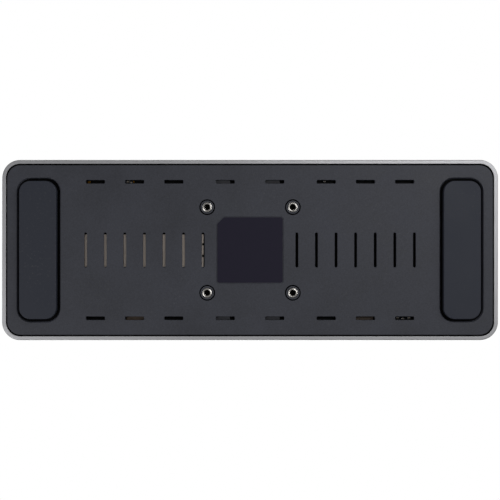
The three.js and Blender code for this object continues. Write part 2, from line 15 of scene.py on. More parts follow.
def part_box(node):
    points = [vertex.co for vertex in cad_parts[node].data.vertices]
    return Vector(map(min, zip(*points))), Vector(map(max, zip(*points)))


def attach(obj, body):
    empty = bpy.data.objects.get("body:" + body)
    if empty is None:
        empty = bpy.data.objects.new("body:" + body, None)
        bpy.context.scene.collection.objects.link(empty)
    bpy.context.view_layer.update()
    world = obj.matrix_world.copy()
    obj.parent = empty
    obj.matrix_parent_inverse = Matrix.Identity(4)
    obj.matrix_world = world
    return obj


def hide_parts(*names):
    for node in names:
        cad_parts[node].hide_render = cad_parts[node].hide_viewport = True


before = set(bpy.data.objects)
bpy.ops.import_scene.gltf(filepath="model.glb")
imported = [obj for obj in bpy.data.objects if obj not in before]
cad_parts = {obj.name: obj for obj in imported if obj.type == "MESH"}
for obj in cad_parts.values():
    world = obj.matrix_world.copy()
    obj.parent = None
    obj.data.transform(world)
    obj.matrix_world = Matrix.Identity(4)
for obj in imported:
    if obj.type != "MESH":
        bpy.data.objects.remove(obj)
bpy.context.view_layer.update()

bl_info = {
    "name": "Docking station",
    "version": (1, 0, 0),
    "blender": (4, 5, 0),
    "location": "View3D > Sidebar > Dock",
    "description": "Makes the visible pieces of a laptop docking station around its packed frame",
    "category": "Add Mesh",
}

MM = 0.001
MICRON = 0.001 * MM
HOUSING = "housing"
BUTTON = "button"
ROUND_STEPS = 40
WELD_DISTANCE = 1e-6
SHARP_ANGLE = math.radians(35)
CDT_INSIDE_WITH_HOLES = 2
CDT_TOLERANCE = 1e-9


# ---------------------------------------------------------------- places and sizes from the frame
# The lowest and the highest corner of a CAD node's box, its middle and its size.

def low(node):
    return np.array(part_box(node)[0])


def high(node):
    return np.array(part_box(node)[1])


def centre(node):
    return (low(node) + high(node)) / 2


def size(node):
    return high(node) - low(node)


def nodes_named(start):
    """The CAD nodes whose names begin with these words, in order."""
    return sorted(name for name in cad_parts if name.startswith(start))


def piece_name(node):
    """The node's name in capitals and without its joins: mount_nut as MountNut."""
    return node.title().replace("_", "")


# ---------------------------------------------------------------- outlines
# An outline is a function of how far it is grown. It gives the points of a closed ring, anticlockwise.

def directions(angle):
    """Unit vectors: the cosine and the sine of each angle."""
    return np.stack([np.cos(angle), np.sin(angle)], axis=-1)


def rounded(width, height, radius, at=(0.0, 0.0), steps=8):
    """A rectangle with round corners: a quarter circle about each corner's centre, straights between them."""
    turn = directions(np.radians(90 * np.arange(4)[:, None] + np.linspace(0, 90, steps + 1)))
    signs = np.array([[1, 1], [-1, 1], [-1, -1], [1, -1]])
    corners = signs * (np.array([width, height]) / 2 - radius) + np.array(at)
    return lambda grow=0.0: (corners[:, None] + (radius + grow) * turn).reshape(-1, 2)


def circle(radius, at=(0.0, 0.0), steps=ROUND_STEPS):
    """Points at equal angles round a centre."""
    turn = directions(np.linspace(0, 2 * np.pi, steps, endpoint=False))
    return lambda grow=0.0: np.array(at) + (radius + grow) * turn


def capsule(length, width, upright, at=(0.0, 0.0), steps=8):
    """Two half circles whose centres lie apart by the length less the width."""
    half = np.linspace(-90, 90, steps + 1)
    turn = directions(np.radians(np.stack([half, half + 180])))
    ends = np.array([[1, 0], [-1, 0]]) * (length - width) / 2

    def ring(grow=0.0):
        points = (ends[:, None] + (width / 2 + grow) * turn).reshape(-1, 2)
        if upright:
            points = np.stack([-points[:, 1], points[:, 0]], axis=-1)
        return points + np.array(at)

    return ring


def outward_normals(sides):
    """Each side turned a quarter turn clockwise and made one long."""
    return np.stack([sides[:, 1], -sides[:, 0]], axis=-1) / np.linalg.norm(sides, axis=1)[:, None]


def polygon(corners, radius, at=(0.0, 0.0), steps=4):
    """Any convex polygon with round corners: each corner is an arc tangent to its two sides."""
    points = np.array(corners, float)
    normal_in = outward_normals(points - np.roll(points, 1, axis=0))
    normal_out = outward_normals(np.roll(points, -1, axis=0) - points)
    start = np.arctan2(normal_in[:, 1], normal_in[:, 0])
    swing = np.mod(np.arctan2(normal_out[:, 1], normal_out[:, 0]) - start, 2 * np.pi)
    bisector = normal_in + normal_out
    bisector = bisector / np.sum(bisector * normal_in, axis=1)[:, None]
    centres = points - radius * bisector
    turn = directions(start[:, None] + swing[:, None] * np.linspace(0, 1, steps + 1))
    return lambda grow=0.0: (centres[:, None] + (radius + grow) * turn).reshape(-1, 2) + np.array(at)


def cornered(corners, at=(0.0, 0.0)):
    """A polygon with sharp corners; growing it moves every side outwards by the same distance."""
    points = np.array(corners) + np.array(at)
    outward = outward_normals(np.roll(points, -1, axis=0) - points)
    before = np.roll(outward, 1, axis=0)
    mitre = (before + outward) / (1 + np.sum(before * outward, axis=1))[:, None]
    return lambda grow=0.0: points + grow * mitre


# ---------------------------------------------------------------- surfaces
# A surface is (points, faces). Surfaces that meet edge to edge are welded into one closed piece.

def arc(middle, radius, start, end, steps=5):
    """Pairs of growth and height along an arc, from one angle to another in degrees."""
    angle = np.radians(np.linspace(start, end, steps + 1))
    return [(middle[0] + radius * c, middle[1] + radius * s) for c, s in zip(np.cos(angle), np.sin(angle))]


def rounded_rim(radius, height, steps, upwards=True):
    """The arc from a solid's side into its top face at a height, or from its bottom face up into its side."""
    if upwards:
        return arc((-radius, height - radius), radius, 0, 90, steps)
    return arc((-radius, height + radius), radius, -90, 0, steps)


def rounded_lip(radius, height, steps):
    """The arc that rounds a downward face at a height up into a hole."""
    return arc((radius, height + radius), radius, 270, 180, steps)


def sweep(rings, keep=None):
    """Quads between each ring and the next, round the whole ring or only where keep is true."""
    count, around = rings.shape[:2]
    index = np.arange(count * around).reshape(count, around)
    beside = np.roll(index, -1, axis=1)
    quads = np.stack([index[:-1], beside[:-1], beside[1:], index[1:]], axis=-1)
    if keep is not None:
        quads = quads[:, keep]
    return rings.reshape(-1, 3), quads.reshape(-1, 4)


def wall(outline, profile, keep=None):
    """The outline carried along a profile of growths and heights."""
    rings = [np.insert(outline(grow), 2, height, axis=1) for grow, height in profile]
    return sweep(np.stack(rings), keep)


def cap(height, edge, *holes):
    """A flat face at a height, bounded by a ring of points, with rings left open in it."""
    rings = [edge, *holes]
    ends = np.cumsum([0] + [len(ring) for ring in rings])
    loops = [list(range(a, b)) for a, b in zip(ends[:-1], ends[1:])]
    flat = np.concatenate(rings)
    made = delaunay_2d_cdt([Vector(p) for p in flat], [], loops, CDT_INSIDE_WITH_HOLES, CDT_TOLERANCE)
    if len(made[0]) != len(flat):
        raise RuntimeError("two rings of a flat face cross each other")
    return np.insert(flat, 2, height, axis=1), np.array(made[2])


def solid(outline, profile):
    """The outline carried along a profile and closed with a flat face at each end."""
    ends = [cap(height, outline(grow)) for grow, height in (profile[0], profile[-1])]
    return [wall(outline, profile), *ends]


def slab(outline, bottom, top, edge=0.0, steps=3):
    """A plate between two heights, with its rims rounded by a radius."""
    if edge == 0.0:
        return solid(outline, [(0.0, bottom), (0.0, top)])
    return solid(outline, rounded_rim(edge, bottom, steps, upwards=False) + rounded_rim(edge, top, steps))


def strip(path, thick, left, right):
    """A bent strip: a path of (Y, Z) points, thickened along its normals and carried across X."""
    along = np.gradient(path, axis=0)
    normal = -outward_normals(along) * thick / 2
    ring = np.concatenate([path + normal, (path - normal)[::-1]])
    left_ring, right_ring = [np.insert(ring, 0, x, axis=1) for x in (left, right)]
    _, faces = cap(0.0, ring)
    return [sweep(np.stack([left_ring, right_ring])), (left_ring, faces), (right_ring, faces)]


def moved(surfaces, turn, by=(0.0, 0.0, 0.0)):
    """The surfaces turned by a 3 by 3 matrix and moved."""
    return [(points @ turn.T + np.array(by), faces) for points, faces in surfaces]


# Local X is to the right, Y up and Z outwards for someone who looks at that side of the dock.
FACING_FRONT = np.array([[1, 0, 0], [0, 0, -1], [0, 1, 0]], float)
FACING_REAR = np.array([[-1, 0, 0], [0, 0, 1], [0, 1, 0]], float)
FACING_RIGHT = np.array([[0, 0, 1], [1, 0, 0], [0, 1, 0]], float)
FACING_LEFT = np.array([[0, 0, -1], [-1, 0, 0], [0, 1, 0]], float)


def make_piece(name, surfaces, finish, body=HOUSING, replaces=(), lining=None, painted_shade_surfaces=()):
    """Welds the surfaces, turns the faces outwards, checks that the piece is closed and puts it on its body.

    Edges sharper than an angle stay sharp. Elsewhere the larger faces lead the shading, so flat faces look
    flat. The second finish is painted shade: a dark finish that stands in for shade on the surfaces in gaps,
    recesses and bores.
    """
    everything = [*surfaces, *painted_shade_surfaces]
    offsets = np.cumsum([0] + [len(points) for points, _ in everything])
    points = np.concatenate([points for points, _ in everything])
    faces = [row for (_, part), start in zip(everything, offsets) for row in (part + start).tolist()]
    painted_shade_faces = sum(len(part) for _, part in painted_shade_surfaces)
    mesh = bpy.data.meshes.new(name)
    mesh.from_pydata(points.tolist(), [], faces)
    mesh.shade_smooth()
    mesh.polygons.foreach_set("material_index", [0] * (len(faces) - painted_shade_faces) + [1] * painted_shade_faces)
    welded = bmesh.new()
    welded.from_mesh(mesh)
    bmesh.ops.remove_doubles(welded, verts=welded.verts, dist=WELD_DISTANCE)
    bmesh.ops.recalc_face_normals(welded, faces=welded.faces)
    open_edges = sum(not edge.is_manifold for edge in welded.edges)
    welded.to_mesh(mesh)
    welded.free()
    if open_edges:
        raise RuntimeError(f"{name} has {open_edges} open edges")
    mesh.set_sharp_from_angle(angle=SHARP_ANGLE)
    mesh.materials.append(finishes[finish])
    if lining:
        mesh.materials.append(finishes[lining])
    piece = bpy.data.objects.new(name, mesh)
    shading = piece.modifiers.new("Shading", "WEIGHTED_NORMAL")
    shading.weight, shading.keep_sharp = 95, True
    bpy.context.scene.collection.objects.link(piece)
    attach(piece, body)
    if replaces:
        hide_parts(*replaces)


# ---------------------------------------------------------------- shader nodes

NOISE_RANGE = 0.3, 0.7  # most values of a noise lie between these


def set_inputs(tree, node, inputs):
    """Gives each input its value, or a link where the value is another node's output."""
    for socket, value in inputs.items():
        if isinstance(value, bpy.types.NodeSocket):
            tree.links.new(value, node.inputs[socket])
        else:
            node.inputs[socket].default_value = value


def add_node(tree, kind, inputs=(), **settings):
    """A node with its settings, and with its inputs set or linked."""
    node = tree.nodes.new(kind)
    for key, value in settings.items():
        setattr(node, key, value)
    set_inputs(tree, node, dict(inputs))
    return node


def object_place(tree):
    return add_node(tree, "ShaderNodeTexCoord").outputs["Object"]


def calculate(tree, operation, *operands):
    """The result of an operation on up to three values."""
    return add_node(tree, "ShaderNodeMath", enumerate(operands), operation=operation).outputs[0]


def combine(tree, operation, *operands):
    """The same on vectors."""
    return add_node(tree, "ShaderNodeVectorMath", enumerate(operands), operation=operation).outputs[0]


def length_of(tree, vector):
    return add_node(tree, "ShaderNodeVectorMath", {0: vector}, operation="LENGTH").outputs["Value"]


def noise(tree, where, scale, detail, roughness=0.5):
    inputs = {"Vector": where, "Scale": scale, "Detail": detail, "Roughness": roughness}
    return add_node(tree, "ShaderNodeTexNoise", inputs).outputs["Fac"]


def remap(tree, value, start, end, to_start=0.0, to_end=1.0, **settings):
    """One range of values carried onto another, and held at its ends."""
    inputs = {"Value": value, "From Min": start, "From Max": end, "To Min": to_start, "To Max": to_end}
    return add_node(tree, "ShaderNodeMapRange", inputs, **settings).outputs["Result"]


def mix_colours(tree, factor, first, second):
    return add_node(tree, "ShaderNodeMix", {0: factor, 6: first, 7: second}, data_type="RGBA").outputs[2]


def bump(tree, height, microns):
    """The normal of a bump whose full height is a real distance."""
    inputs = {"Height": height, "Strength": 1.0, "Distance": microns * MICRON}
    return add_node(tree, "ShaderNodeBump", inputs).outputs["Normal"]


# ---------------------------------------------------------------- shader node groups

def new_group(name, inputs):
    """A shader group; a default of one, three or four numbers makes the input a value, vector or colour."""
    kinds = {1: "NodeSocketFloat", 3: "NodeSocketVector", 4: "NodeSocketColor"}
    group = bpy.data.node_groups.new(name, "ShaderNodeTree")
    for socket, value in inputs.items():
        made = group.interface.new_socket(socket, in_out="INPUT", socket_type=kinds[np.size(value)])
        made.default_value = value
    return group, group.nodes.new("NodeGroupInput").outputs


def put_out(group, results):
    """Gives a group its outputs: Colour is a colour and the others are values."""
    for socket in results:
        kind = "NodeSocketColor" if socket == "Colour" else "NodeSocketFloat"
        group.interface.new_socket(socket, in_out="OUTPUT", socket_type=kind)
    set_inputs(group, group.nodes.new("NodeGroupOutput"), results)
    return group


def grain_group():
    """Fine grain: noise on Object coordinates shades a colour a little and gives a height for a bump."""
    tree, given = new_group("Fine grain", {
        "Colour": (0.5, 0.5, 0.5, 1.0), "Spread": 0.1, "Scale": 3000.0, "Patch scale": 40.0})
    where = object_place(tree)
    fine = noise(tree, where, given["Scale"], 3.0, 0.6)
    patch = noise(tree, where, given["Patch scale"], 4.0, 0.55)
    centred = calculate(tree, "SUBTRACT", calculate(tree, "ADD", fine, patch), 1.0)
    factor = calculate(tree, "MULTIPLY_ADD", centred, given["Spread"], 1.0)
    shaded = add_node(tree, "ShaderNodeVectorMath", {0: given["Colour"], "Scale": factor}, operation="SCALE")
    return put_out(tree, {"Colour": shaded.outputs[0], "Height": fine, "Patch": patch})


def brushed_group():
    """Brush lines: noise on Object coordinates that are stretched along one axis."""
    tree, given = new_group("Brush lines", {"Across": (100.0, 4000.0, 4000.0), "Low": 0.25, "High": 0.45})
    where = combine(tree, "MULTIPLY", object_place(tree), given["Across"])
    lines = noise(tree, where, 1.0, 4.0, 0.65)
    rough = remap(tree, lines, *NOISE_RANGE, given["Low"], given["High"])
    return put_out(tree, {"Roughness": rough, "Height": lines})


def dust_group():
    """Dust: sparse specks, more of them inside soft patches, lighten a colour."""
    tree, given = new_group("Dust", {
        "Colour": (0.5, 0.5, 0.5, 1.0), "Dust": (0.45, 0.43, 0.40, 1.0), "Amount": 0.2, "Scale": 900.0})
    where = object_place(tree)
    specks = remap(tree, noise(tree, where, given["Scale"], 2.0), 0.6, 0.75)
    patches = remap(tree, noise(tree, where, 25.0, 3.0), 0.4, 0.7)
    mask = calculate(tree, "MULTIPLY", calculate(tree, "MULTIPLY", specks, patches), given["Amount"])
    return put_out(tree, {"Colour": mix_colours(tree, mask, given["Colour"], given["Dust"]), "Mask": mask})


# ---------------------------------------------------------------- materials

groups = {}
finishes = {}


def rgb(hex_code):
    """A linear colour from a hex code in display values."""
    channels = np.array([int(hex_code[i:i + 2], 16) for i in (0, 2, 4)]) / 255
    return tuple(np.where(channels <= 0.04045, channels / 12.92, ((channels + 0.055) / 1.055) ** 2.4))


def new_material(name):
    material = bpy.data.materials.new(name)
    material.use_nodes = True
    return material, material.node_tree, material.node_tree.nodes["Principled BSDF"]


def place_group(tree, kind, inputs):
    """Puts one of the shared groups into a material, with values of its own, and gives its outputs."""
    return add_node(tree, "ShaderNodeGroup", inputs, node_tree=groups[kind]).outputs


def grained(name, colour, roughness, spread, scale, relief, dust=0.0, rough_spread=0.06, **values):
    """A moulded, coated or blasted surface: grain in colour and height, soft patches of roughness, dust."""
    material, tree, shader = new_material(name)
    grain = place_group(tree, "grain", {"Colour": (*colour, 1.0), "Spread": spread, "Scale": scale})
    surface = grain["Colour"]
    if dust:
        surface = place_group(tree, "dust", {"Colour": surface, "Amount": dust})["Colour"]
    rough = remap(tree, grain["Patch"], *NOISE_RANGE, roughness - rough_spread, roughness + rough_spread)
    set_inputs(tree, shader, {
        **values, "Base Color": surface, "Roughness": rough, "Normal": bump(tree, grain["Height"], relief)})
    return material


def brushed(name, colour, rough_low, rough_high, across, relief):
    """A rolled, turned or plated metal with brush lines."""
    material, tree, shader = new_material(name)
    lines = place_group(tree, "brushed", {"Across": across, "Low": rough_low, "High": rough_high})
    set_inputs(tree, shader, {"Metallic": 1.0, "Base Color": (*colour, 1.0), "Roughness": lines["Roughness"],
                              "Normal": bump(tree, lines["Height"], relief)})
    return material


def turned(name, colour, roughness, offset, relief):
    """A face turned on a lathe: noise of the distance from the nearest of four axes, offset in X and Y."""
    material, tree, shader = new_material(name)
    centred = combine(tree, "SUBTRACT", combine(tree, "ABSOLUTE", object_place(tree)), (offset, offset, 0.0))
    radius = length_of(tree, combine(tree, "MULTIPLY", centred, (1.0, 1.0, 0.0)))
    inputs = {"W": radius, "Scale": 9000.0, "Detail": 2.0, "Roughness": 0.6}
    lines = add_node(tree, "ShaderNodeTexNoise", inputs, noise_dimensions="1D").outputs["Fac"]
    set_inputs(tree, shader, {"Metallic": 1.0, "Base Color": (*colour, 1.0), "Roughness": roughness,
                              "Normal": bump(tree, lines, relief)})
    return material


def board_material(name, colour, copper, relief):
    """Solder mask over copper: a stepped noise makes broad tracks and fills that stand out a little."""
    material, tree, shader = new_material(name)
    cells = add_node(tree, "ShaderNodeTexVoronoi", {"Vector": object_place(tree), "Scale": 420.0},
                     distance="CHEBYCHEV", feature="F1")
    steps = remap(tree, cells.outputs["Distance"], 0.38, 0.42)
    surface = mix_colours(tree, steps, (*copper, 1.0), (*colour, 1.0))
    set_inputs(tree, shader, {"Base Color": surface, "Roughness": 0.6, "Specular IOR Level": 0.15,
                              "Normal": bump(tree, steps, relief)})
    return material


def make_finishes(colours):
    """Every finish of the dock, by name."""
    groups.update(grain=grain_group(), brushed=brushed_group(), dust=dust_group())
    turn_axis = abs(centre(nodes_named("mount_nut")[0])[0])
    dull, satin = {"Specular IOR Level": 0.1}, {"Specular IOR Level": 0.3}
    fine, medium, coarse, rolled = (1800,) * 3, (1500,) * 3, (1400,) * 3, (120, 2600, 2600)
    return {
        "shell": grained("Anodised aluminium", colours.shell, 0.50, 0.05, 5200, 8, 0.0, 0.015, Metallic=1.0),
        "plate": grained("Powder coat", colours.plate, 0.55, 0.80, 1700, 35, 0.05),
        "strip": grained("Grey strip", rgb("2c2d33"), 0.60, 0.12, 3600, 20),
        # Painted shade: this near-black finish stands in for the shade in gaps, recesses and inside the tub.
        "lining": grained("Black lining", rgb("050506"), 0.85, 0.10, 2000, 10, **dull),
        "rubber": grained("Rubber", colours.rubber, 0.62, 0.20, 4200, 12, 0.08),
        "label": grained("Blank label", colours.label, 0.60, 0.04, 6000, 3, 0.0, 0.02, **satin),
        "plastic": grained("Black plastic", colours.plastic, 0.48, 0.12, 4800, 10),
        "button": grained("Button", colours.button, 0.38, 0.06, 5000, 6),
        "carrier": grained("Blue plastic", colours.carrier, 0.45, 0.10, 3000, 4),
        "silicone": grained("Heat pad", rgb("7d8b96"), 0.80, 0.10, 2500, 20),
        "epoxy": grained("Moulded epoxy", rgb("1d1e20"), 0.55, 0.15, 4000, 10),
        "ceramic": grained("Ceramic", rgb("8c8274"), 0.55, 0.10, 5000, 4),
        "film": grained("Brown film", rgb("4b3b2d"), 0.50, 0.25, 1800, 10),
        "sleeve": grained("Capacitor sleeve", rgb("20242c"), 0.35, 0.08, 900, 4),
        "clear": grained("Frosted acrylic", rgb("d9e2e6"), 0.30, 0.03, 2500, 2),
        "lamp_green": grained("Green lens", rgb("4f8a4a"), 0.25, 0.03, 2500, 2),
        "lamp_amber": grained("Amber lens", rgb("b58234"), 0.25, 0.03, 2500, 2),
        "ink": grained("Pale inlay", rgb("b9bdc2"), 0.45, 0.04, 3000, 2),
        "zinc": turned("Zinc plating", rgb("dedbd6"), 0.26, turn_axis, 35),
        # Painted shade: the dark thread stands in for the shade inside a nut's bore.
        "oiled": brushed("Oiled thread", rgb("26231f"), 0.45, 0.60, medium, 4),
        "screw": brushed("Black nickel", rgb("5c5e62"), 0.25, 0.42, medium, 4),
        "steel": brushed("Nickelled steel", rgb("b4b6b9"), 0.24, 0.40, (300, 3200, 3200), 4),
        "raw": brushed("Rolled aluminium", colours.spreader, 0.45, 0.60, rolled, 6),
        "fins": brushed("Black anodised aluminium", rgb("1c1d1f"), 0.40, 0.55, rolled, 4),
        "tin": brushed("Tin", rgb("cfcdc6"), 0.28, 0.45, fine, 6),
        "solder": brushed("Dull solder", rgb("7b7c80"), 0.50, 0.65, fine, 6),
        "flux": brushed("Gold under flux", rgb("6e4f1c"), 0.45, 0.60, coarse, 4),
        "gold": brushed("Gold plating", rgb("d8ab5a"), 0.20, 0.34, coarse, 2),
        "board": board_material("Circuit board", rgb("08090a"), rgb("0f1112"), 30),
    }


# ---------------------------------------------------------------- sizes, colours and stage

def length(name, description, millimetres):
    return bpy.props.FloatProperty(name=name, description=description, default=millimetres * MM,
                                   unit="LENGTH", precision=5)


def colour(name, description, hex_code):
    return bpy.props.FloatVectorProperty(name=name, description=description, default=rgb(hex_code),
                                         subtype="COLOR", min=0.0, max=1.0)


def strength(name, description, value):
    return bpy.props.FloatProperty(name=name, description=description, default=value)


class DockSizes(bpy.types.PropertyGroup):
    """Sizes that the boxes of the frame's nodes don't give."""

    corner: length("Corner radius", "Radius of the upright edges of the shell", 8.0)
    wall: length("Wall", "Thickness of the shell's walls", 1.75)
    roof: length("Roof", "Thickness of the shell's roof", 1.8)
    top_edge: length("Top edge", "Radius of the shell's upper edge", 1.2)
    rim_bevel: length("Rim bevel", "Width of the bevel on the inner edge of the rim", 0.1)
    rim_round: length("Rim round", "Radius of the outer edge of the rim", 0.42)
    sheet: length("Base sheet", "Thickness of the base plate", 1.2)
    boss_height: length("Boss height", "How far the ring round a nut stands out of the base plate", 0.4)
    plate_corner: length("Plate corner", "Corner radius of the base plate", 5.9)
    slot_first: length("First slot", "Distance of the innermost long slot from the middle", 20.8)
    slot_pitch: length("Slot pitch", "Distance from one long slot to the next", 8.7)
    slot_length: length("Slot length", "Length of a long slot", 15.5)
    slot_width: length("Slot width", "Width of a long slot", 1.2)
    edge_slot_row: length("Edge slot row", "Distance of the short slots from the middle", 30.3)
    edge_slot_length: length("Edge slot length", "Length of a short slot", 8.4)
    edge_slot_width: length("Edge slot width", "Width of a short slot", 1.55)
    pocket_width: length("Foot pocket width", "Width of the recess for a foot", 19.0)
    pocket_length: length("Foot pocket length", "Length of the recess for a foot", 63.8)
    pocket_corner: length("Foot pocket corner", "Corner radius of the recess for a foot", 6.0)
    pocket_depth: length("Foot pocket depth", "Depth of the recess for a foot", 1.0)
    foot_corner: length("Foot corner", "Corner radius of a foot", 5.0)
    foot_edge: length("Foot edge", "Radius of a foot's lower edge", 0.35)
    label_clip: length("Label clip", "Leg of the label's clipped corner", 2.9)
    window_length: length("Window length", "Length of the window for a port panel", 160.0)
    window_height: length("Window height", "Height of the window for a port panel", 18.4)
    window_corner: length("Window corner", "Corner radius of the window for a port panel", 3.0)
    slot_count: bpy.props.IntProperty(name="Slots a side", description="Long slots on each side", default=7)


class DockColours(bpy.types.PropertyGroup):
    """Colours of the finishes that show most."""

    shell: colour("Shell", "Anodised aluminium", "c8c8cb")
    plate: colour("Base plate", "Powder coat", "3d3f48")
    rubber: colour("Rubber", "Feet", "2c303c")
    label: colour("Label", "Blank label", "1b172c")
    plastic: colour("Plastic", "Port panels and black mouldings", "17181a")
    button: colour("Button", "Power button", "26282b")
    carrier: colour("Contact carrier", "Tongues of the wide sockets", "1f4488")
    spreader: colour("Heat spreader", "Rolled aluminium behind the slots", "cfc4ba")


class DockStage(bpy.types.PropertyGroup):
    """Camera and light."""

    distance: length("Camera distance", "Distance of the camera from the rim", 450.0)
    view_width: length("View width", "Width that the camera sees at the rim", 221.75)
    sky: strength("Sky", "Brightness of the surroundings", 0.165)
    key: strength("Key", "Power of the light beside the camera", 0.35)
    backdrop: strength("Backdrop", "Brightness behind the dock", 1.0)


# ---------------------------------------------------------------- enclosure

def side_face(half, span, depth, *holes):
    """A straight stretch of the shell's wall between two heights in local coordinates, with holes in it."""
    edge = np.array([[x, z] for x, z in zip((-half, half, half, -half), np.repeat(span, 2))])
    return cap(depth, edge, *holes)


def shell_surfaces(sizes):
    """Rounded rectangles carried along the tub's section; straight walls are flat faces with holes."""
    lowest, highest = low("top_shell"), high("top_shell")
    long_side, short_side, _ = highest - lowest
    rim, top = lowest[2], highest[2]
    ceiling = top - sizes.roof
    outline = rounded(long_side, short_side, sizes.corner, steps=16)
    inside, edge = -sizes.wall, sizes.top_edge
    rim_section = [
        (inside, rim + sizes.rim_bevel),
        (inside + sizes.rim_bevel, rim),
        *rounded_rim(sizes.rim_round, rim, 4, upwards=False),
    ]
    outer_band = (rim_section[-1], (0.0, top - edge))
    inner_band = (rim_section[0], (inside, ceiling))

    per_side = len(outline()) // 4
    straight = np.arange(len(outline())) % per_side == per_side - 1
    surfaces = [
        wall(outline, rim_section),
        wall(outline, outer_band, keep=~straight),
        wall(outline, rounded_rim(edge, top, 8)),
        cap(top, outline(-edge)),
    ]
    # Painted shade: the inner band, the ceiling and the inner faces of the straight walls are black, standing
    # in for the shade inside the tub that shows in the gap at the rim.
    painted_shade_surfaces = [wall(outline, inner_band, keep=~straight), cap(ceiling, outline(inside))]

    middle = centre("rear_panel")[2]
    window = rounded(sizes.window_length, sizes.window_height, sizes.window_corner, (0, middle))
    lock_width, lock_height, lock_corner, bevel = 7 * MM, 3 * MM, 1 * MM, 0.25 * MM
    lock_slot = rounded(lock_width, lock_height, lock_corner, (centre("lock_plate")[1], middle))
    sides = [
        (FACING_FRONT, long_side, short_side, [window]),
        (FACING_REAR, long_side, short_side, [window]),
        (FACING_RIGHT, short_side, long_side, [lock_slot]),
        (FACING_LEFT, short_side, long_side, []),
    ]
    outer_span, inner_span = [[height for _, height in band] for band in (outer_band, inner_band)]
    for turn, along, across, holes in sides:
        half, depth = along / 2 - sizes.corner, across / 2
        through = [(bevel, depth), (0.0, depth - bevel), (0.0, depth + inside)]
        outer = side_face(half, outer_span, depth, *[hole(bevel) for hole in holes])
        inner = side_face(half, inner_span, depth + inside, *[hole() for hole in holes])
        surfaces += moved([outer, *[wall(hole, through) for hole in holes]], turn)
        painted_shade_surfaces += moved([inner], turn)
    return surfaces, painted_shade_surfaces


def slot_outlines(sizes):
    """The long slots on both sides of the label and the short slots along the long edges."""
    first, pitch = sizes.slot_first, sizes.slot_pitch
    slots = [
        capsule(sizes.slot_length, sizes.slot_width, True, (side * (first + i * pitch), 0.0))
        for side in (-1, 1) for i in range(sizes.slot_count)
    ]
    innermost, corner = 11 * MM, 0.35 * MM
    for away in (innermost, first + 1.5 * pitch, first + 3.5 * pitch, first + 5.5 * pitch):
        for x in (-away, away):
            for y in (-sizes.edge_slot_row, sizes.edge_slot_row):
                slots.append(rounded(sizes.edge_slot_length, sizes.edge_slot_width, corner, (x, y), 3))
    return slots


# A ring round a nut: pairs of radius and height above the base plate's underside, in millimetres.
BOSS_LIP = [(3.57, 0.0), (3.5, 0.05), (3.47, 0.12)]
BOSS_GROOVE = [(3.47, 0.12), (3.45, 1.0), (3.0, 1.0), (3.0, 0.05)]
BOSS_FLANK = [(3.0, 0.05), (2.98, -0.25), (2.9, -0.36), (2.75, -0.4), (2.42, -0.4), (2.32, -0.36),
              (2.27, -0.28)]
BOSS_HOLE = 2.25 * MM


def turned_section(section, base):
    """Pairs of radius and height in millimetres as growths and heights above a base."""
    return [(radius * MM, base + height * MM) for radius, height in section]


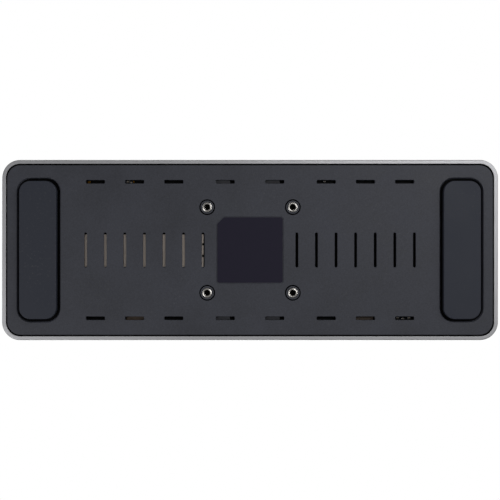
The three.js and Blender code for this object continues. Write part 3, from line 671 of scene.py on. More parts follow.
def plate_surfaces(sizes):
    """The sheet's lower and upper faces, joined through every slot, boss and screw hole, and its pockets."""
    lowest, highest = low("bottom_plate"), high("bottom_plate")
    long_side, short_side, _ = highest - lowest
    under, pad_top = lowest[2] + sizes.boss_height, highest[2]
    over = under + sizes.sheet
    edge, slack_x, slack_y = 0.12 * MM, 0.2 * MM, 0.5 * MM
    outline = rounded(long_side - slack_x, short_side - slack_y, sizes.plate_corner, steps=14)
    surfaces = [wall(outline, rounded_rim(edge, under, 3, upwards=False))]
    # Painted shade: the plate's edge wall is black, standing in for the shade in the gap at the rim; the
    # grooves round the nuts and the floors of the foot pockets take the same black.
    painted_shade_surfaces = [wall(outline, [(0.0, under + edge), (0.0, over)])]
    lower_holes, upper_holes = [], []

    lip = 0.18 * MM
    for slot in slot_outlines(sizes):
        surfaces.append(wall(slot, [*rounded_lip(lip, under, 3), (0.0, over)]))
        lower_holes.append(slot(lip))
        upper_holes.append(slot())

    for nut in nodes_named("mount_nut"):
        ring = circle(0.0, centre(nut)[:2])
        flank = [*turned_section(BOSS_FLANK, under), (BOSS_HOLE, over)]
        surfaces += [wall(ring, turned_section(BOSS_LIP, under)), wall(ring, flank)]
        # The groove is black: painted shade.
        painted_shade_surfaces.append(wall(ring, turned_section(BOSS_GROOVE, under)))
        lower_holes.append(ring(BOSS_LIP[0][0] * MM))
        upper_holes.append(ring(BOSS_HOLE))

    lip, floor, bend = 0.5 * MM, under + sizes.pocket_depth, 0.2 * MM
    outside, outside_top = 1.2 * MM, 1.0 * MM
    sink, clearance = 3.15 * MM, 1.95 * MM
    for foot in nodes_named("foot"):
        middle = centre(foot)[:2]
        pocket = rounded(sizes.pocket_width, sizes.pocket_length, sizes.pocket_corner, middle, 12)
        section = [*rounded_lip(lip, under, 5), (0.0, floor - bend), (-bend, floor)]
        pad_section = [(outside, over), (outside, pad_top - bend), (outside_top, pad_top)]
        screws = [centre(node)[:2] for node in nodes_named("cover_screw")]
        rings = [circle(0.0, at, 24) for at in screws if abs(at[0] - middle[0]) < 1 * MM]
        surfaces += [wall(pocket, section), wall(pocket, pad_section)]
        surfaces += [wall(ring, [(sink, floor), (clearance, pad_top)]) for ring in rings]
        # The pocket's floor is black: painted shade.
        painted_shade_surfaces.append(cap(floor, pocket(-bend), *[ring(sink) for ring in rings]))
        surfaces.append(cap(pad_top, pocket(outside_top), *[ring(clearance) for ring in rings]))
        lower_holes.append(pocket(lip))
        upper_holes.append(pocket(outside))

    margin, lip, depth = 0.4 * MM, 0.08 * MM, 0.3 * MM
    recess = label_outline(sizes, margin)
    surfaces.append(wall(recess, [(lip, under), (0.0, under + lip), (0.0, under + depth)]))
    surfaces.append(cap(under + depth, recess()))
    lower_holes.append(recess(lip))

    surfaces.append(cap(under, outline(-edge), *lower_holes))
    surfaces.append(cap(over, outline(), *upper_holes))
    return surfaces, painted_shade_surfaces


def label_outline(sizes, grow):
    """A square with small round corners and the one at -X, -Y clipped off, grown by a margin."""
    half = size("rating_label")[0] / 2 + grow
    clip = sizes.label_clip + 0.6 * grow
    corners = [(half, -half), (half, half), (-half, half), (-half, clip - half), (clip - half, -half)]
    return polygon(corners, 0.9 * MM + grow, centre("rating_label")[:2])


# The outside of a nut: pairs of radius and height above its face, in millimetres.
NUT_OUTSIDE = [(1.32, 0.12), (1.45, 0.0), (1.85, 0.0), (2.05, 0.08), (2.13, 0.25), (2.13, 1.85), (3.2, 1.85),
               (3.2, 2.95), (2.1, 2.95), (2.1, 5.75)]


def nut_surfaces(node):
    """A barrel with a flange, and its bore.

    The bore's radius follows a triangle wave of height and angle, a thread, which fades out at both ends.
    """
    middle, base, steps = centre(node)[:2], low(node)[2], 48
    barrel = circle(0.0, middle, steps)
    section = turned_section(NUT_OUTSIDE, base)
    body = [wall(barrel, section), cap(section[-1][1], barrel(section[-1][0]))]

    mouth, pitch, mean, depth, reach = 0.12 * MM, 0.5 * MM, 1.25 * MM, 5.0 * MM, 0.3 * MM
    swing, flare = 0.14 * MM, 0.07 * MM
    angle = np.linspace(0, 2 * np.pi, steps, endpoint=False)
    height = np.linspace(0, depth, 80)[:, None]
    wave = np.abs(2 * np.mod(height / pitch - angle / (2 * np.pi), 1) - 1) - 0.5
    fade = np.clip(np.minimum(height, depth - height) / reach, 0, 1)
    radius = mean + swing * wave * fade + flare * np.clip(1 - height / reach, 0, 1)
    rings = np.stack([middle[0] + radius * np.cos(angle), middle[1] + radius * np.sin(angle),
                      base + mouth + height + 0 * angle], axis=-1)
    bore = [sweep(rings), cap(base + mouth + depth, rings[-1, :, :2])]
    return body, bore


def foot_surfaces(sizes, node):
    """A long rounded pad whose lower rim is rounded."""
    width, long_side, _ = size(node)
    outline = rounded(width, long_side, sizes.foot_corner, centre(node)[:2], 14)
    rim = rounded_rim(sizes.foot_edge, low(node)[2], 8, upwards=False)
    return solid(outline, [*rim, (0.0, high(node)[2])])


class DOCK_OT_shell(bpy.types.Operator):
    """Makes the aluminium tub"""

    bl_idname = "dock.make_shell"
    bl_label = "Top shell"

    def execute(self, context):
        surfaces, painted_shade_surfaces = shell_surfaces(context.scene.dock_sizes)
        make_piece("TopCasing", surfaces, "shell", replaces=["top_shell"],
                   lining="lining", painted_shade_surfaces=painted_shade_surfaces)
        return {"FINISHED"}


class DOCK_OT_base(bpy.types.Operator):
    """Makes the slotted base plate"""

    bl_idname = "dock.make_base"
    bl_label = "Base plate"

    def execute(self, context):
        surfaces, painted_shade_surfaces = plate_surfaces(context.scene.dock_sizes)
        make_piece("BasePlate", surfaces, "plate", replaces=["bottom_plate"],
                   lining="lining", painted_shade_surfaces=painted_shade_surfaces)
        return {"FINISHED"}


class DOCK_OT_feet(bpy.types.Operator):
    """Makes the two rubber feet"""

    bl_idname = "dock.make_feet"
    bl_label = "Rubber feet"

    def execute(self, context):
        for node in nodes_named("foot"):
            surfaces = foot_surfaces(context.scene.dock_sizes, node)
            make_piece("Rubber" + piece_name(node), surfaces, "rubber", replaces=[node])
        return {"FINISHED"}


class DOCK_OT_label(bpy.types.Operator):
    """Makes the blank label with its clipped corner"""

    bl_idname = "dock.make_label"
    bl_label = "Label"

    def execute(self, context):
        outline = label_outline(context.scene.dock_sizes, 0.0)
        surfaces = slab(outline, low("rating_label")[2], high("rating_label")[2], 0.03 * MM, 2)
        make_piece("BlankLabel", surfaces, "label", replaces=["rating_label"])
        return {"FINISHED"}


class DOCK_OT_nuts(bpy.types.Operator):
    """Makes the four threaded nuts"""

    bl_idname = "dock.make_nuts"
    bl_label = "Threaded nuts"

    def execute(self, context):
        for number, node in enumerate(nodes_named("mount_nut"), 1):
            body, bore = nut_surfaces(node)
            # The bore takes the dark thread finish: painted shade.
            make_piece(f"ThreadedNut{number}", body, "zinc", replaces=[node],
                       lining="oiled", painted_shade_surfaces=bore)
        return {"FINISHED"}


# ---------------------------------------------------------------- ports
# A port is drawn as someone in front of it sees it: X right, Y up from the feet's plane, Z out of the dock.

def facing(node):
    return FACING_FRONT if centre(node)[1] < 0 else FACING_REAR


def mouth(node):
    """How far a node's outer face lies from the middle plane."""
    return np.abs([low(node)[1], high(node)[1]]).max()


def inner_end(node):
    return np.abs([low(node)[1], high(node)[1]]).min()


def placed(node, surfaces):
    return moved(surfaces, facing(node), (centre(node)[0], 0.0, 0.0))


def stand_in(node, surfaces, finish, name=None, body=HOUSING):
    """A port's piece in the place of its CAD node."""
    make_piece(name or piece_name(node), placed(node, surfaces), finish, body, replaces=[node])


def box_outline(node, corner, less_x=0.0, less_z=0.0):
    """The outline of a node's own box as its port shows it, made smaller, with round corners."""
    width, _, height = size(node)
    return rounded(width - less_x, height - less_z, corner, (0.0, centre(node)[2]))


def prism(outline, back, front, edge):
    """One stage of a stacked piece, with its front rim rounded."""
    return outline, [(0.0, back), *rounded_rim(edge, front, 3)]


def recess(outline, front, depth, bevel):
    """A pocket in a face: the outline, with a bevel at its rim."""
    return outline, [(bevel, front), (0.0, front - bevel), (0.0, front - depth)]


def stacked(stages, pockets=(), tunnels=()):
    """Stages on one another along Z, joined by flat ledges.

    Pockets end inside them and tunnels pass through.
    """
    surfaces = [wall(outline, section) for outline, section in [*stages, *pockets, *tunnels]]
    surfaces += [cap(section[-1][1], outline(section[-1][0])) for outline, section in pockets]
    starts = [(section[0][1], outline(section[0][0])) for outline, section in stages]
    ends = [(section[-1][1], outline(section[-1][0])) for outline, section in stages]
    mouths = [outline(section[0][0]) for outline, section in pockets]
    mouths += [outline(section[-1][0]) for outline, section in tunnels]
    surfaces.append(cap(*starts[0], *[outline(section[0][0]) for outline, section in tunnels]))
    surfaces.append(cap(*ends[-1], *mouths))
    for (height, larger), (_, smaller) in zip(ends[:-1], starts[1:]):
        surfaces.append(cap(height, larger, smaller))
    return surfaces


def socket_box(node, outside, edge, mouths, deep, bevel):
    """An outline as deep as its node, with a rounded front rim and pockets of one depth in its face."""
    front = mouth(node)
    pockets = [recess(outline, front, deep, bevel) for outline in mouths]
    return stacked([prism(outside, front - size(node)[1], front, edge)], pockets)


def bars(lowest, highest):
    """Small boxes, given by rows of their lowest and highest corners."""
    unit = np.array([[x, y, z] for z in (0, 1) for y in (0, 1) for x in (0, 1)])
    points = lowest[:, None] + unit * (highest - lowest)[:, None]
    faces = np.array([[0, 2, 3, 1], [4, 5, 7, 6], [0, 1, 5, 4], [2, 6, 7, 3], [0, 4, 6, 2], [1, 3, 7, 5]])
    starts = 8 * np.arange(len(points))[:, None, None]
    return [(points.reshape(-1, 3), (faces + starts).reshape(-1, 4))]


def contact_row(count, pitch, width, level, thick, back, front):
    """Flat contacts side by side, which stand up from a level or, if their thickness is negative, down."""
    x = (np.arange(count) - (count - 1) / 2) * pitch
    bottom, top = min(level, level + thick), max(level, level + thick)
    lowest = np.column_stack([x - width / 2, np.full(count, bottom), np.full(count, back)])
    highest = np.column_stack([x + width / 2, np.full(count, top), np.full(count, front)])
    return bars(lowest, highest)


def spring(x, level, bulge, width, back, front):
    """A sprung tab pressed out of a shell's wall: a strip along a squared sine, from zero to zero."""
    along = np.linspace(0, 1, 9)
    path = np.column_stack([level + bulge * np.sin(np.pi * along) ** 2, back + (front - back) * along])
    return strip(path, 0.15 * MM, x - width / 2, x + width / 2)


def add_metal(start, node, contacts, springs=()):
    """The contacts of a socket and the springs of its shell, which replace no node."""
    make_piece(piece_name(start) + "Contacts", placed(node, contacts), "gold")
    if springs:
        make_piece(piece_name(start) + "Springs", placed(node, springs), "steel")


def panel_surfaces(sizes, node, holes):
    """A nose in the shell's window on a wider flange behind the wall, with holes for the ports."""
    back, face, level = inner_end(node), mouth(node), centre(node)[2]
    shoulder, gap, edge, bevel = back + 1.0 * MM, 0.3 * MM, 0.3 * MM, 0.25 * MM
    nose = rounded(sizes.window_length - 2 * gap, sizes.window_height - 2 * gap, sizes.window_corner - gap,
                   (0.0, level))
    flange = (box_outline(node, sizes.window_corner), [(0.0, back), (0.0, shoulder)])
    through = [(0.0, back), (0.0, face - bevel), (bevel, face)]
    return stacked([flange, prism(nose, shoulder, face, edge)], tunnels=[(hole, through) for hole in holes])


def around(node, radius):
    """The hole a panel has for a socket: the socket's own box, a little larger."""
    x, _, z = centre(node)
    width, _, height = size(node)
    gap = 0.3 * MM
    return rounded(width + 2 * gap, height + 2 * gap, radius, (facing(node)[0][0] * x, z))


class DOCK_OT_panels(bpy.types.Operator):
    """Makes the two port panels"""

    bl_idname = "dock.make_panels"
    bl_label = "Port panels"

    def execute(self, context):
        square, round_end = 0.8 * MM, 1.9 * MM
        button_level = centre("power_button")[2]
        front = [around(node, square) for node in ("card_slot", "front_usb_a_1_shell", "front_usb_a_2_shell")]
        front += [
            around("front_usb_c_shell", round_end),
            circle(4.7 * MM, (centre("power_button")[0], button_level)),
            circle(1.2 * MM, (centre("light_pipe")[0], button_level), 24),
            circle(3.2 * MM, centre("audio_jack")[::2]),
        ]
        stacks = [name + "_shell" for name in ("display_stack_1", "display_stack_2", "rear_usb_a_stack")]
        rear = [around(node, square) for node in ("dc_jack", *stacks, "network_jack")]
        rear += [around(node, round_end) for node in ("host_usb_c_shell", "device_usb_c_shell")]
        for panel, holes in (("front_panel", front), ("rear_panel", rear)):
            surfaces = moved(panel_surfaces(context.scene.dock_sizes, panel, holes), facing(panel))
            make_piece(piece_name(panel), surfaces, "plastic", replaces=[panel])
        return {"FINISHED"}


class DOCK_OT_button(bpy.types.Operator):
    """Makes the power button with its inlay, and the tip of the light pipe beside it"""

    bl_idname = "dock.make_button"
    bl_label = "Power button and light"

    def execute(self, context):
        button = "power_button"
        face, level = mouth(button), centre(button)[2]
        at, edge = (0.0, level), 0.45 * MM
        flange_front, flange_back = 36.7 * MM, 35.9 * MM
        rim = arc((-edge, face - edge), edge, 0, 90, 6)
        dish = [(-0.9 * MM, face - 0.12 * MM), (-2.2 * MM, face - 0.22 * MM)]
        surfaces = stacked([
            (circle(1.5 * MM, at), [(0.0, inner_end(button)), (0.0, flange_back)]),
            (circle(5.4 * MM, at), [(0.0, flange_back), (0.0, flange_front)]),
            (circle(4.4 * MM, at), [(0.0, flange_front), *rim, *dish]),
        ])
        stand_in(button, surfaces, "button", body=BUTTON)

        back, front, outer, inner = face - 0.24 * MM, face - 0.19 * MM, 1.45 * MM, 1.15 * MM
        turn = directions(np.radians(np.linspace(125, 415, 41)))
        bow = np.concatenate([outer * turn, inner * turn[::-1]]) + np.array(at)
        stroke = rounded(outer - inner, 1.3 * MM, 0.1 * MM, (0.0, level + 1.05 * MM), 3)
        mark = [*slab(lambda grow: bow, back, front), *slab(stroke, back, front)]
        make_piece("PowerMark", placed(button, mark), "ink", BUTTON)

        pipe, radius, start = "light_pipe", 0.9 * MM, 34.0 * MM
        dome = [(0.0, start), *arc((-radius, mouth(pipe) - radius), radius, 0, 80, 8)]
        make_piece("LightPipeTip", placed(pipe, solid(circle(radius, at, 24), dome)), "clear")
        return {"FINISHED"}


class DOCK_OT_power_jack(bpy.types.Operator):
    """Makes the round power inlet with its pin"""

    bl_idname = "dock.make_power_jack"
    bl_label = "Power inlet"

    def execute(self, context):
        node, pin = "dc_jack", "dc_jack_pin"
        front, at = mouth(node), (0.0, centre(pin)[2])
        hole = circle(3.15 * MM, at)
        inlet = socket_box(node, box_outline(node, 0.6 * MM), 0.25 * MM, [hole], 9.5 * MM, 0.5 * MM)
        stand_in(node, inlet, "plastic", "PowerInlet")

        tip, rounding = mouth(pin), 0.7 * MM
        profile = [(0.0, front - 9.4 * MM), *arc((-rounding, tip - rounding), rounding, 0, 80)]
        stand_in(pin, solid(circle(1.0 * MM, at, 24), profile), "tin", "PowerPin")
        leaf = spring(0.0, at[1] - 2.95 * MM, 0.7 * MM, 1.6 * MM, front - 9.0 * MM, front - 1.2 * MM)
        make_piece("PowerSpring", placed(pin, leaf), "tin")
        return {"FINISHED"}


class DOCK_OT_reversible(bpy.types.Operator):
    """Makes the small reversible data sockets"""

    bl_idname = "dock.make_reversible"
    bl_label = "Reversible sockets"

    def execute(self, context):
        sheet, bevel, base_length = 0.31 * MM, 0.1 * MM, 5.2 * MM
        pins, pitch, pin_width, pin_level, pin_height = 12, 0.5 * MM, 0.26 * MM, 0.345 * MM, 0.03 * MM
        for start in ("front_usb_c", "host_usb_c", "device_usb_c"):
            shell, tongue = start + "_shell", start + "_tongue"
            width, depth, height = size(shell)
            front, at = mouth(shell), (0.0, centre(shell)[2])
            outside = capsule(width, height, False, at, 10)
            inside = capsule(width - 2 * sheet, height - 2 * sheet, False, at, 10)
            case = socket_box(shell, outside, bevel, [inside], depth - bevel, bevel)
            stand_in(shell, case, "steel")

            back, step, tip = inner_end(tongue), front - base_length, mouth(tongue)
            base = capsule(size(tongue)[0], size(tongue)[2], False, at, 10)
            blade = rounded(6.69 * MM, 0.7 * MM, 0.2 * MM, at, 4)
            surfaces = stacked([(base, [(0.0, back), (0.0, step)]), prism(blade, step, tip, 0.15 * MM)])
            stand_in(tongue, surfaces, "plastic")

            contacts = []
            for side in (-1, 1):
                contacts += contact_row(pins, pitch, pin_width, at[1] + side * pin_level, side * pin_height,
                                        step, tip - 0.6 * MM)
            add_metal(start, shell, contacts)
        return {"FINISHED"}


class DOCK_OT_wide(bpy.types.Operator):
    """Makes the wide data sockets, single and stacked"""

    bl_idname = "dock.make_wide"
    bl_label = "Wide sockets"

    def execute(self, context):
        opening, blade = (12.5 * MM, 5.12 * MM), (11.1 * MM, 1.84 * MM)
        above, backing, clear = 0.9 * MM, 3.4 * MM, 0.05 * MM
        single, double = [3.0 * MM], [3.6 * MM, 11.2 * MM]
        for start in ("front_usb_a_1", "front_usb_a_2", "rear_usb_a_stack"):
            shell, tongue = start + "_shell", start + "_tongue"
            _, depth, height = size(shell)
            front, tip = mouth(shell), mouth(tongue)
            levels = [low(shell)[2] + up for up in (single if height < 10 * MM else double)]
            mouths = [rounded(*opening, 0.4 * MM, (0.0, level), 4) for level in levels]
            outside = box_outline(shell, 0.3 * MM)
            case = socket_box(shell, outside, 0.2 * MM, mouths, depth - backing, 0.2 * MM)
            stand_in(shell, case, "steel")

            floor = front - depth + backing
            surfaces, contacts, springs = [], [], []
            for level in levels:
                outline = rounded(*blade, 0.3 * MM, (0.0, level + above), 3)
                surfaces += stacked([prism(outline, floor, tip, 0.2 * MM)])
                under, long_back, short_back = level + above - blade[1] / 2, floor + 1 * MM, tip - 0.7 * MM
                contacts += contact_row(4, 2.5 * MM, 1.0 * MM, under, -0.12 * MM, long_back, tip - 0.8 * MM)
                contacts += contact_row(5, 2.0 * MM, 0.6 * MM, under, -0.06 * MM, short_back, tip - 0.2 * MM)
                ground, roof = level - opening[1] / 2 + clear, level + opening[1] / 2 - clear
                tab, tab_back, tab_front = 1.7 * MM, front - 9 * MM, front - 1.6 * MM
                for x in (-2.9 * MM, 2.9 * MM):
                    springs += spring(x, ground, 0.55 * MM, tab, tab_back, tab_front)
                    springs += spring(x, roof, -0.4 * MM, tab, tab_back, tab_front)
            stand_in(tongue, surfaces, "carrier")
            add_metal(start, shell, contacts, springs)
        return {"FINISHED"}


# The mouths of a display stack, in millimetres above its seat: the lower one narrows downwards and the upper
# one has a clipped corner. Then each tongue's width, thickness and height.
DISPLAY_MOUTHS = [
    [(-7, 5.9), (-7, 3.2), (-5.4, 1.35), (5.4, 1.35), (7, 3.2), (7, 5.9)],
    [(-8.05, 13.4), (-8.05, 10.6), (-6, 8.6), (8.05, 8.6), (8.05, 13.4)],
]
DISPLAY_BLADES = [(11.2, 1.1, 4.4), (12.8, 1.2, 11.6)]


class DOCK_OT_display(bpy.types.Operator):
    """Makes the stacked display sockets"""

    bl_idname = "dock.make_display"
    bl_label = "Display sockets"

    def execute(self, context):
        backing, seat_gap = 3.8 * MM, 0.1 * MM
        for start in ("display_stack_1", "display_stack_2"):
            shell, insert = start + "_shell", start + "_insert"
            front, deep = mouth(shell), size(shell)[1] - backing
            seat, floor, tip = low(shell)[2] - seat_gap, front - deep, mouth(insert)
            rings = [polygon(np.array(corners) * MM, 0.45 * MM, (0.0, seat)) for corners in DISPLAY_MOUTHS]
            case = socket_box(shell, box_outline(shell, 0.4 * MM), 0.2 * MM, rings, deep, 0.25 * MM)
            stand_in(shell, case, "steel")

            surfaces, contacts, springs = [], [], []
            for width, thick, up in np.array(DISPLAY_BLADES) * MM:
                outline = rounded(width, thick, 0.3 * MM, (0.0, seat + up), 3)
                surfaces += stacked([prism(outline, floor, tip, 0.2 * MM)])
                for side in (-1, 1):
                    face = seat + up + side * thick / 2
                    contacts += contact_row(10, 1.0 * MM, 0.45 * MM, face, side * 0.05 * MM,
                                            floor + 1 * MM, tip - 0.7 * MM)
            stand_in(insert, surfaces, "plastic")
            tab, tab_back, tab_front, bulge = 1.6 * MM, front - 8 * MM, front - 1.2 * MM, -0.35 * MM
            for x in (-3.6 * MM, 3.6 * MM):
                for corners in DISPLAY_MOUTHS:
                    roof = seat + (corners[0][1] - 0.05) * MM
                    springs += spring(x, roof, bulge, tab, tab_back, tab_front)
            add_metal(start, shell, contacts, springs)
        return {"FINISHED"}


# Right half of the network plug's outline above the seat, and the side view of a contact as height above the
# seat and distance before the mouth, in millimetres.
PLUG_HALF = [(5.85, 1.6), (5.85, 8.4), (3.1, 8.4), (3.1, 10.4), (1.9, 10.4), (1.9, 11.8)]
PLUG_CONTACT = [(1.62, -1.4), (1.9, -1.9), (2.2, -3.0), (3.3, -6.0), (4.4, -9.0), (4.6, -12.6)]


class DOCK_OT_network(bpy.types.Operator):
    """Makes the network socket: a shield, a moulded plug space, its contacts and two lamps"""

    bl_idname = "dock.make_network"
    bl_label = "Network socket"

    def execute(self, context):
        node = "network_jack"
        seat, front = low(node)[2], mouth(node)
        outside, window = box_outline(node, 0.3 * MM), box_outline(node, 0.3 * MM, 1.2 * MM, 1.4 * MM)
        shield = socket_box(node, outside, 0.2 * MM, [window], 14.0 * MM, 0.1 * MM)
        stand_in(node, shield, "steel", "NetworkShield")

        opening = cornered(np.array(PLUG_HALF + [(-x, z) for x, z in reversed(PLUG_HALF)]) * MM, (0.0, seat))
        insert_back, insert_front, plug_depth = front - 13.9 * MM, front - 0.25 * MM, 12.8 * MM
        body = box_outline(node, 0.25 * MM, 1.3 * MM, 1.5 * MM)
        insert = stacked([prism(body, insert_back, insert_front, 0.1 * MM)],
                         [recess(opening, insert_front, plug_depth, 0.3 * MM)])
        make_piece("NetworkInsert", placed(node, insert), "plastic")

        path = np.array(PLUG_CONTACT) * MM + np.array([seat, front])
        pitch, thick, half_width, wires = 1.02 * MM, 0.3 * MM, 0.23 * MM, []
        for x in (np.arange(8) - 3.5) * pitch:
            wires += strip(path, thick, x - half_width, x + half_width)
        make_piece("NetworkContacts", placed(node, wires), "gold")

        for side, x, finish in (("Left", -5.7 * MM, "lamp_amber"), ("Right", 5.7 * MM, "lamp_green")):
            lens = rounded(3.0 * MM, 1.9 * MM, 0.25 * MM, (x, seat + 10.95 * MM), 4)
            lamp = stacked([prism(lens, insert_front, front - 0.05 * MM, 0.1 * MM)])
            make_piece("NetworkLamp" + side, placed(node, lamp), finish)
        return {"FINISHED"}


class DOCK_OT_audio(bpy.types.Operator):
    """Makes the round audio socket with its collar"""

    bl_idname = "dock.make_audio"
    bl_label = "Audio socket"

    def execute(self, context):
        node = "audio_jack"
        front, level = mouth(node), centre(node)[2]
        back, shoulder = front - size(node)[1], front - 3.4 * MM
        collar, hole = circle(2.9 * MM, (0.0, level)), circle(1.8 * MM, (0.0, level), 32)
        housing = (box_outline(node, 0.4 * MM), [(0.0, back), (0.0, shoulder)])
        surfaces = stacked([housing, prism(collar, shoulder, front, 0.3 * MM)],
                           [recess(hole, front, 12 * MM, 0.35 * MM)])
        stand_in(node, surfaces, "plastic", "AudioSocket")
        leaves = [*spring(0.0, level - 1.75 * MM, 0.45 * MM, 1.0 * MM, front - 8 * MM, front - 3 * MM),
                  *spring(0.0, level + 1.75 * MM, -0.4 * MM, 0.8 * MM, front - 11.5 * MM, front - 6 * MM)]
        make_piece("AudioSprings", placed(node, leaves), "tin")
        return {"FINISHED"}


class DOCK_OT_card(bpy.types.Operator):
    """Makes the memory card slot"""

    bl_idname = "dock.make_card"
    bl_label = "Card slot"

    def execute(self, context):
        node = "card_slot"
        front, level = mouth(node), centre(node)[2]
        opening = rounded(24.6 * MM, 2.3 * MM, 0.3 * MM, (0.0, level))
        case = socket_box(node, box_outline(node, 0.3 * MM), 0.15 * MM, [opening], 15.5 * MM, 0.25 * MM)
        stand_in(node, case, "steel")
        floor = front - 15.4 * MM
        contacts = contact_row(9, 2.5 * MM, 0.9 * MM, level + 0.6 * MM, 0.2 * MM, floor, floor + 4.5 * MM)
        make_piece("CardContacts", placed(node, contacts), "gold")
        return {"FINISHED"}


# ---------------------------------------------------------------- small parts under the main board

# Middle X and Y, length, width and height below the board, in millimetres.
GOLD_PADS = [(-71.8, -30.2, 1.3, 1.1, 1.5), (-51.9, -30.5, 0.7, 0.8, 1.5)]
CERAMIC_CHIPS = [(-54.4, -30.5, 1.3, 0.7, 1.5), (-53.0, -30.1, 1.0, 0.7, 1.4), (33.2, -30.6, 1.0, 0.6, 1.0),
                 (65.8, 30.2, 1.2, 0.7, 1.2), (68.2, 30.6, 1.2, 0.7, 1.0), (70.9, 30.2, 1.2, 0.7, 1.2)]
FILM_PARTS = [(-51.2, 30.3, 8.0, 2.6, 1.6), (51.2, 30.4, 8.0, 2.4, 0.6)]


def hung(x, y, across, deep, drop):
    """A small block with rounded corners that hangs from the underside of the main board."""
    board = low("main_board")[2]
    corner = min(0.12, 0.3 * min(across, deep)) * MM
    outline = rounded(across * MM, deep * MM, corner, (x * MM, y * MM), 2)
    return slab(outline, board - drop * MM, board, 0.6 * corner, 2)


class DOCK_OT_strips(bpy.types.Operator):
    """Makes the strips behind the short slots next to the middle, each in two lengths"""

    bl_idname = "dock.make_strips"
    bl_label = "Strips"

    def execute(self, context):
        left_end, right_start, right_end = -8.9 * MM, -6.5 * MM, 13.2 * MM
        for node in nodes_named("stiffener"):
            (left, _, bottom), (_, _, top) = low(node), high(node)
            surfaces = []
            for start, end in ((left, left_end), (right_start, right_end)):
                middle = ((start + end) / 2, centre(node)[1])
                outline = rounded(end - start, size(node)[1], 1.0 * MM, middle, 4)
                surfaces += slab(outline, bottom, top, 0.1 * MM, 2)
            make_piece(piece_name(node), surfaces, "strip", replaces=[node])
        return {"FINISHED"}


class DOCK_OT_parts(bpy.types.Operator):
    """Makes the small parts that show through the short slots"""

    bl_idname = "dock.make_parts"
    bl_label = "Board parts"

    def execute(self, context):
        ends = [(x + side * 0.42 * across, y, 0.24 * across, 1.06 * deep, 1.04 * drop)
                for x, y, across, deep, drop in CERAMIC_CHIPS for side in (-1, 1)]
        middles = [(x, y, 0.6 * across, deep, drop) for x, y, across, deep, drop in CERAMIC_CHIPS]
        made_of = {"BoardPads": (GOLD_PADS, "flux"), "BoardChipEnds": (ends, "solder"),
                   "BoardChips": (middles, "ceramic"), "BoardFilmParts": (FILM_PARTS, "film")}
        for name, (parts, finish) in made_of.items():
            make_piece(name, [surface for part in parts for surface in hung(*part)], finish)
        return {"FINISHED"}


# ---------------------------------------------------------------- pieces kept from the frame

KEPT_FINISHES = {
    "board_header": "plastic", "board_screw": "screw", "bulk_capacitor": "sleeve",
    "controller_chip": "epoxy", "cover_screw": "screw", "heat_sink": "fins", "heat_sink_pad": "silicone",
    "heat_spreader": "raw", "light_pipe": "clear", "lock_plate": "steel", "main_board": "board",
    "network_transformer": "epoxy", "port_board": "board", "port_board_screw": "screw",
    "power_switch": "plastic", "spreader_pad": "silicone", "switch_plunger": "steel",
}


class DOCK_OT_kept(bpy.types.Operator):
    """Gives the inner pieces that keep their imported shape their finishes"""

    bl_idname = "dock.finish_kept"
    bl_label = "Inner pieces"

    def execute(self, context):
        for name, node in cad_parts.items():
            if node.hide_render:
                continue
            longest = max((start for start in KEPT_FINISHES if name.startswith(start)), key=len)
            for place in node.material_slots:
                place.material = finishes[KEPT_FINISHES[longest]]
        return {"FINISHED"}


# ---------------------------------------------------------------- stage

WHITE = (1.0, 1.0, 1.0, 1.0)

# Each light's place, the point it faces, its width, height and power. The key light gets its power from the
# stage's settings.
KEY_LIGHT = ((0.17, -0.11, -0.52), (0, 0, 0), 0.12, 0.12)
LIGHTS = {
    "FromBelowRight": ((0.42, -0.22, -0.34), (0.03, 0, 0), 0.30, 0.40, 0.78),
    "FromBelowLeft": ((-0.36, 0.22, -0.42), (-0.03, 0, 0), 0.25, 0.35, 0.71),
    "FromAboveRight": ((0.50, -0.45, 0.90), (0, 0, 0), 0.80, 0.80, 5.0),
    "FromAboveLeft": ((-0.60, -0.15, 0.60), (0, 0, 0), 0.35, 0.60, 2.5),
    "FromFront": ((-0.20, -0.80, 0.30), (0, 0, 0), 0.60, 0.35, 1.5),
    "FromBehind": ((0.05, 0.70, 0.60), (0, 0, 0), 0.70, 0.30, 2.6),
}


def soft_light(name, place, target, width, height, power):
    """A rectangular light that faces a target and isn't seen itself."""
    light = bpy.data.lights.new(name, "AREA")
    light.shape = "RECTANGLE"
    light.size, light.size_y, light.energy = width, height, power
    lamp = bpy.data.objects.new(name, light)
    lamp.location = place
    lamp.rotation_euler = (Vector(target) - Vector(place)).to_track_quat("-Z", "Y").to_euler()
    lamp.visible_camera = False
    bpy.context.scene.collection.objects.link(lamp)


def floor_material():
    """Pale paper that fades into the white surroundings, and clear from below so that the underside shows."""
    material, tree, shader = new_material("Pale floor")
    set_inputs(tree, shader, {"Base Color": (0.86, 0.86, 0.86, 1.0), "Roughness": 0.9})
    far = remap(tree, length_of(tree, object_place(tree)), 0.15, 0.45, interpolation_type="SMOOTHSTEP")
    glow = add_node(tree, "ShaderNodeEmission", {"Color": WHITE})
    fade = add_node(tree, "ShaderNodeMixShader", {0: far, 1: shader.outputs[0], 2: glow.outputs[0]})
    below = add_node(tree, "ShaderNodeNewGeometry").outputs["Backfacing"]
    clear = add_node(tree, "ShaderNodeBsdfTransparent")
    mix = add_node(tree, "ShaderNodeMixShader", {0: below, 1: fade.outputs[0], 2: clear.outputs[0]})
    tree.links.new(mix.outputs[0], tree.nodes["Material Output"].inputs["Surface"])
    return material


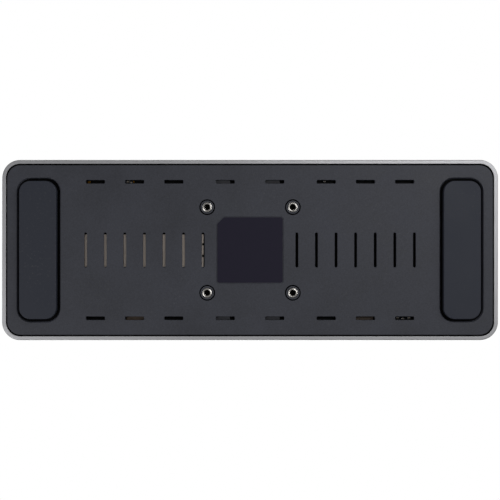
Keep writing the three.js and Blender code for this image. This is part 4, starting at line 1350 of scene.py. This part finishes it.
def make_floor():
    """A square just under the feet that only the camera sees, with no shadow or light of its own."""
    reach, height = 3.0, -0.3 * MM
    mesh = bpy.data.meshes.new("Floor")
    corners = [(x * reach, y * reach, height) for x, y in ((-1, -1), (1, -1), (1, 1), (-1, 1))]
    mesh.from_pydata(corners, [], [(0, 1, 2, 3)])
    mesh.materials.append(floor_material())
    floor = bpy.data.objects.new("Floor", mesh)
    bpy.context.scene.collection.objects.link(floor)
    for ray in ("shadow", "diffuse", "glossy", "transmission"):
        setattr(floor, "visible_" + ray, False)


def make_world(stage):
    """White surroundings that the camera sees brighter than the dock does."""
    world = bpy.data.worlds.new("Surroundings")
    world.use_nodes = True
    tree = world.node_tree
    seen = add_node(tree, "ShaderNodeLightPath").outputs["Is Camera Ray"]
    strength = remap(tree, seen, 0.0, 1.0, stage.sky, stage.backdrop)
    set_inputs(tree, tree.nodes["Background"], {"Color": WHITE, "Strength": strength})
    bpy.context.scene.world = world


def make_camera(stage):
    """A camera straight below the dock, whose lens takes in a given width at the rim."""
    data = bpy.data.cameras.new("Camera")
    data.lens = data.sensor_width * stage.distance / stage.view_width
    data.clip_start, data.clip_end = 10 * MM, 20.0
    camera = bpy.data.objects.new("Camera", data)
    camera.location = (0.0, 0.0, low("top_shell")[2] - stage.distance)
    camera.rotation_euler = (math.pi, 0.0, 0.0)
    bpy.context.scene.collection.objects.link(camera)
    bpy.context.scene.camera = camera


class DOCK_OT_stage(bpy.types.Operator):
    """Makes the floor, the lights, the surroundings and the camera"""

    bl_idname = "dock.make_stage"
    bl_label = "Stage"

    def execute(self, context):
        stage = context.scene.dock_stage
        make_floor()
        make_world(stage)
        context.scene.view_settings.view_transform = "Standard"
        soft_light("Key", *KEY_LIGHT, stage.key)
        for name, light in LIGHTS.items():
            soft_light(name, *light)
        make_camera(stage)
        return {"FINISHED"}


class DOCK_PT_panel(bpy.types.Panel):
    """Lists the pieces and the stage"""

    bl_idname = "DOCK_PT_panel"
    bl_label = "Docking station"
    bl_space_type = "VIEW_3D"
    bl_region_type = "UI"
    bl_category = "Dock"

    def draw(self, context):
        for operator in OPERATORS:
            self.layout.operator(operator.bl_idname)


OPERATORS = (
    DOCK_OT_shell,
    DOCK_OT_base,
    DOCK_OT_feet,
    DOCK_OT_label,
    DOCK_OT_nuts,
    DOCK_OT_panels,
    DOCK_OT_button,
    DOCK_OT_power_jack,
    DOCK_OT_reversible,
    DOCK_OT_wide,
    DOCK_OT_display,
    DOCK_OT_network,
    DOCK_OT_audio,
    DOCK_OT_card,
    DOCK_OT_strips,
    DOCK_OT_parts,
    DOCK_OT_kept,
    DOCK_OT_stage,
)
PROPERTIES = {"dock_sizes": DockSizes, "dock_colours": DockColours, "dock_stage": DockStage}
CLASSES = (*PROPERTIES.values(), *OPERATORS, DOCK_PT_panel)


def register():
    for cls in CLASSES:
        bpy.utils.register_class(cls)
    for name, group in PROPERTIES.items():
        setattr(bpy.types.Scene, name, bpy.props.PointerProperty(type=group))


def unregister():
    for name in PROPERTIES:
        delattr(bpy.types.Scene, name)
    for cls in reversed(CLASSES):
        bpy.utils.unregister_class(cls)


def main():
    register()
    finishes.update(make_finishes(bpy.context.scene.dock_colours))
    for operator in OPERATORS:
        group, name = operator.bl_idname.split(".")
        getattr(getattr(bpy.ops, group), name)()


if __name__ == "__main__":
    main()
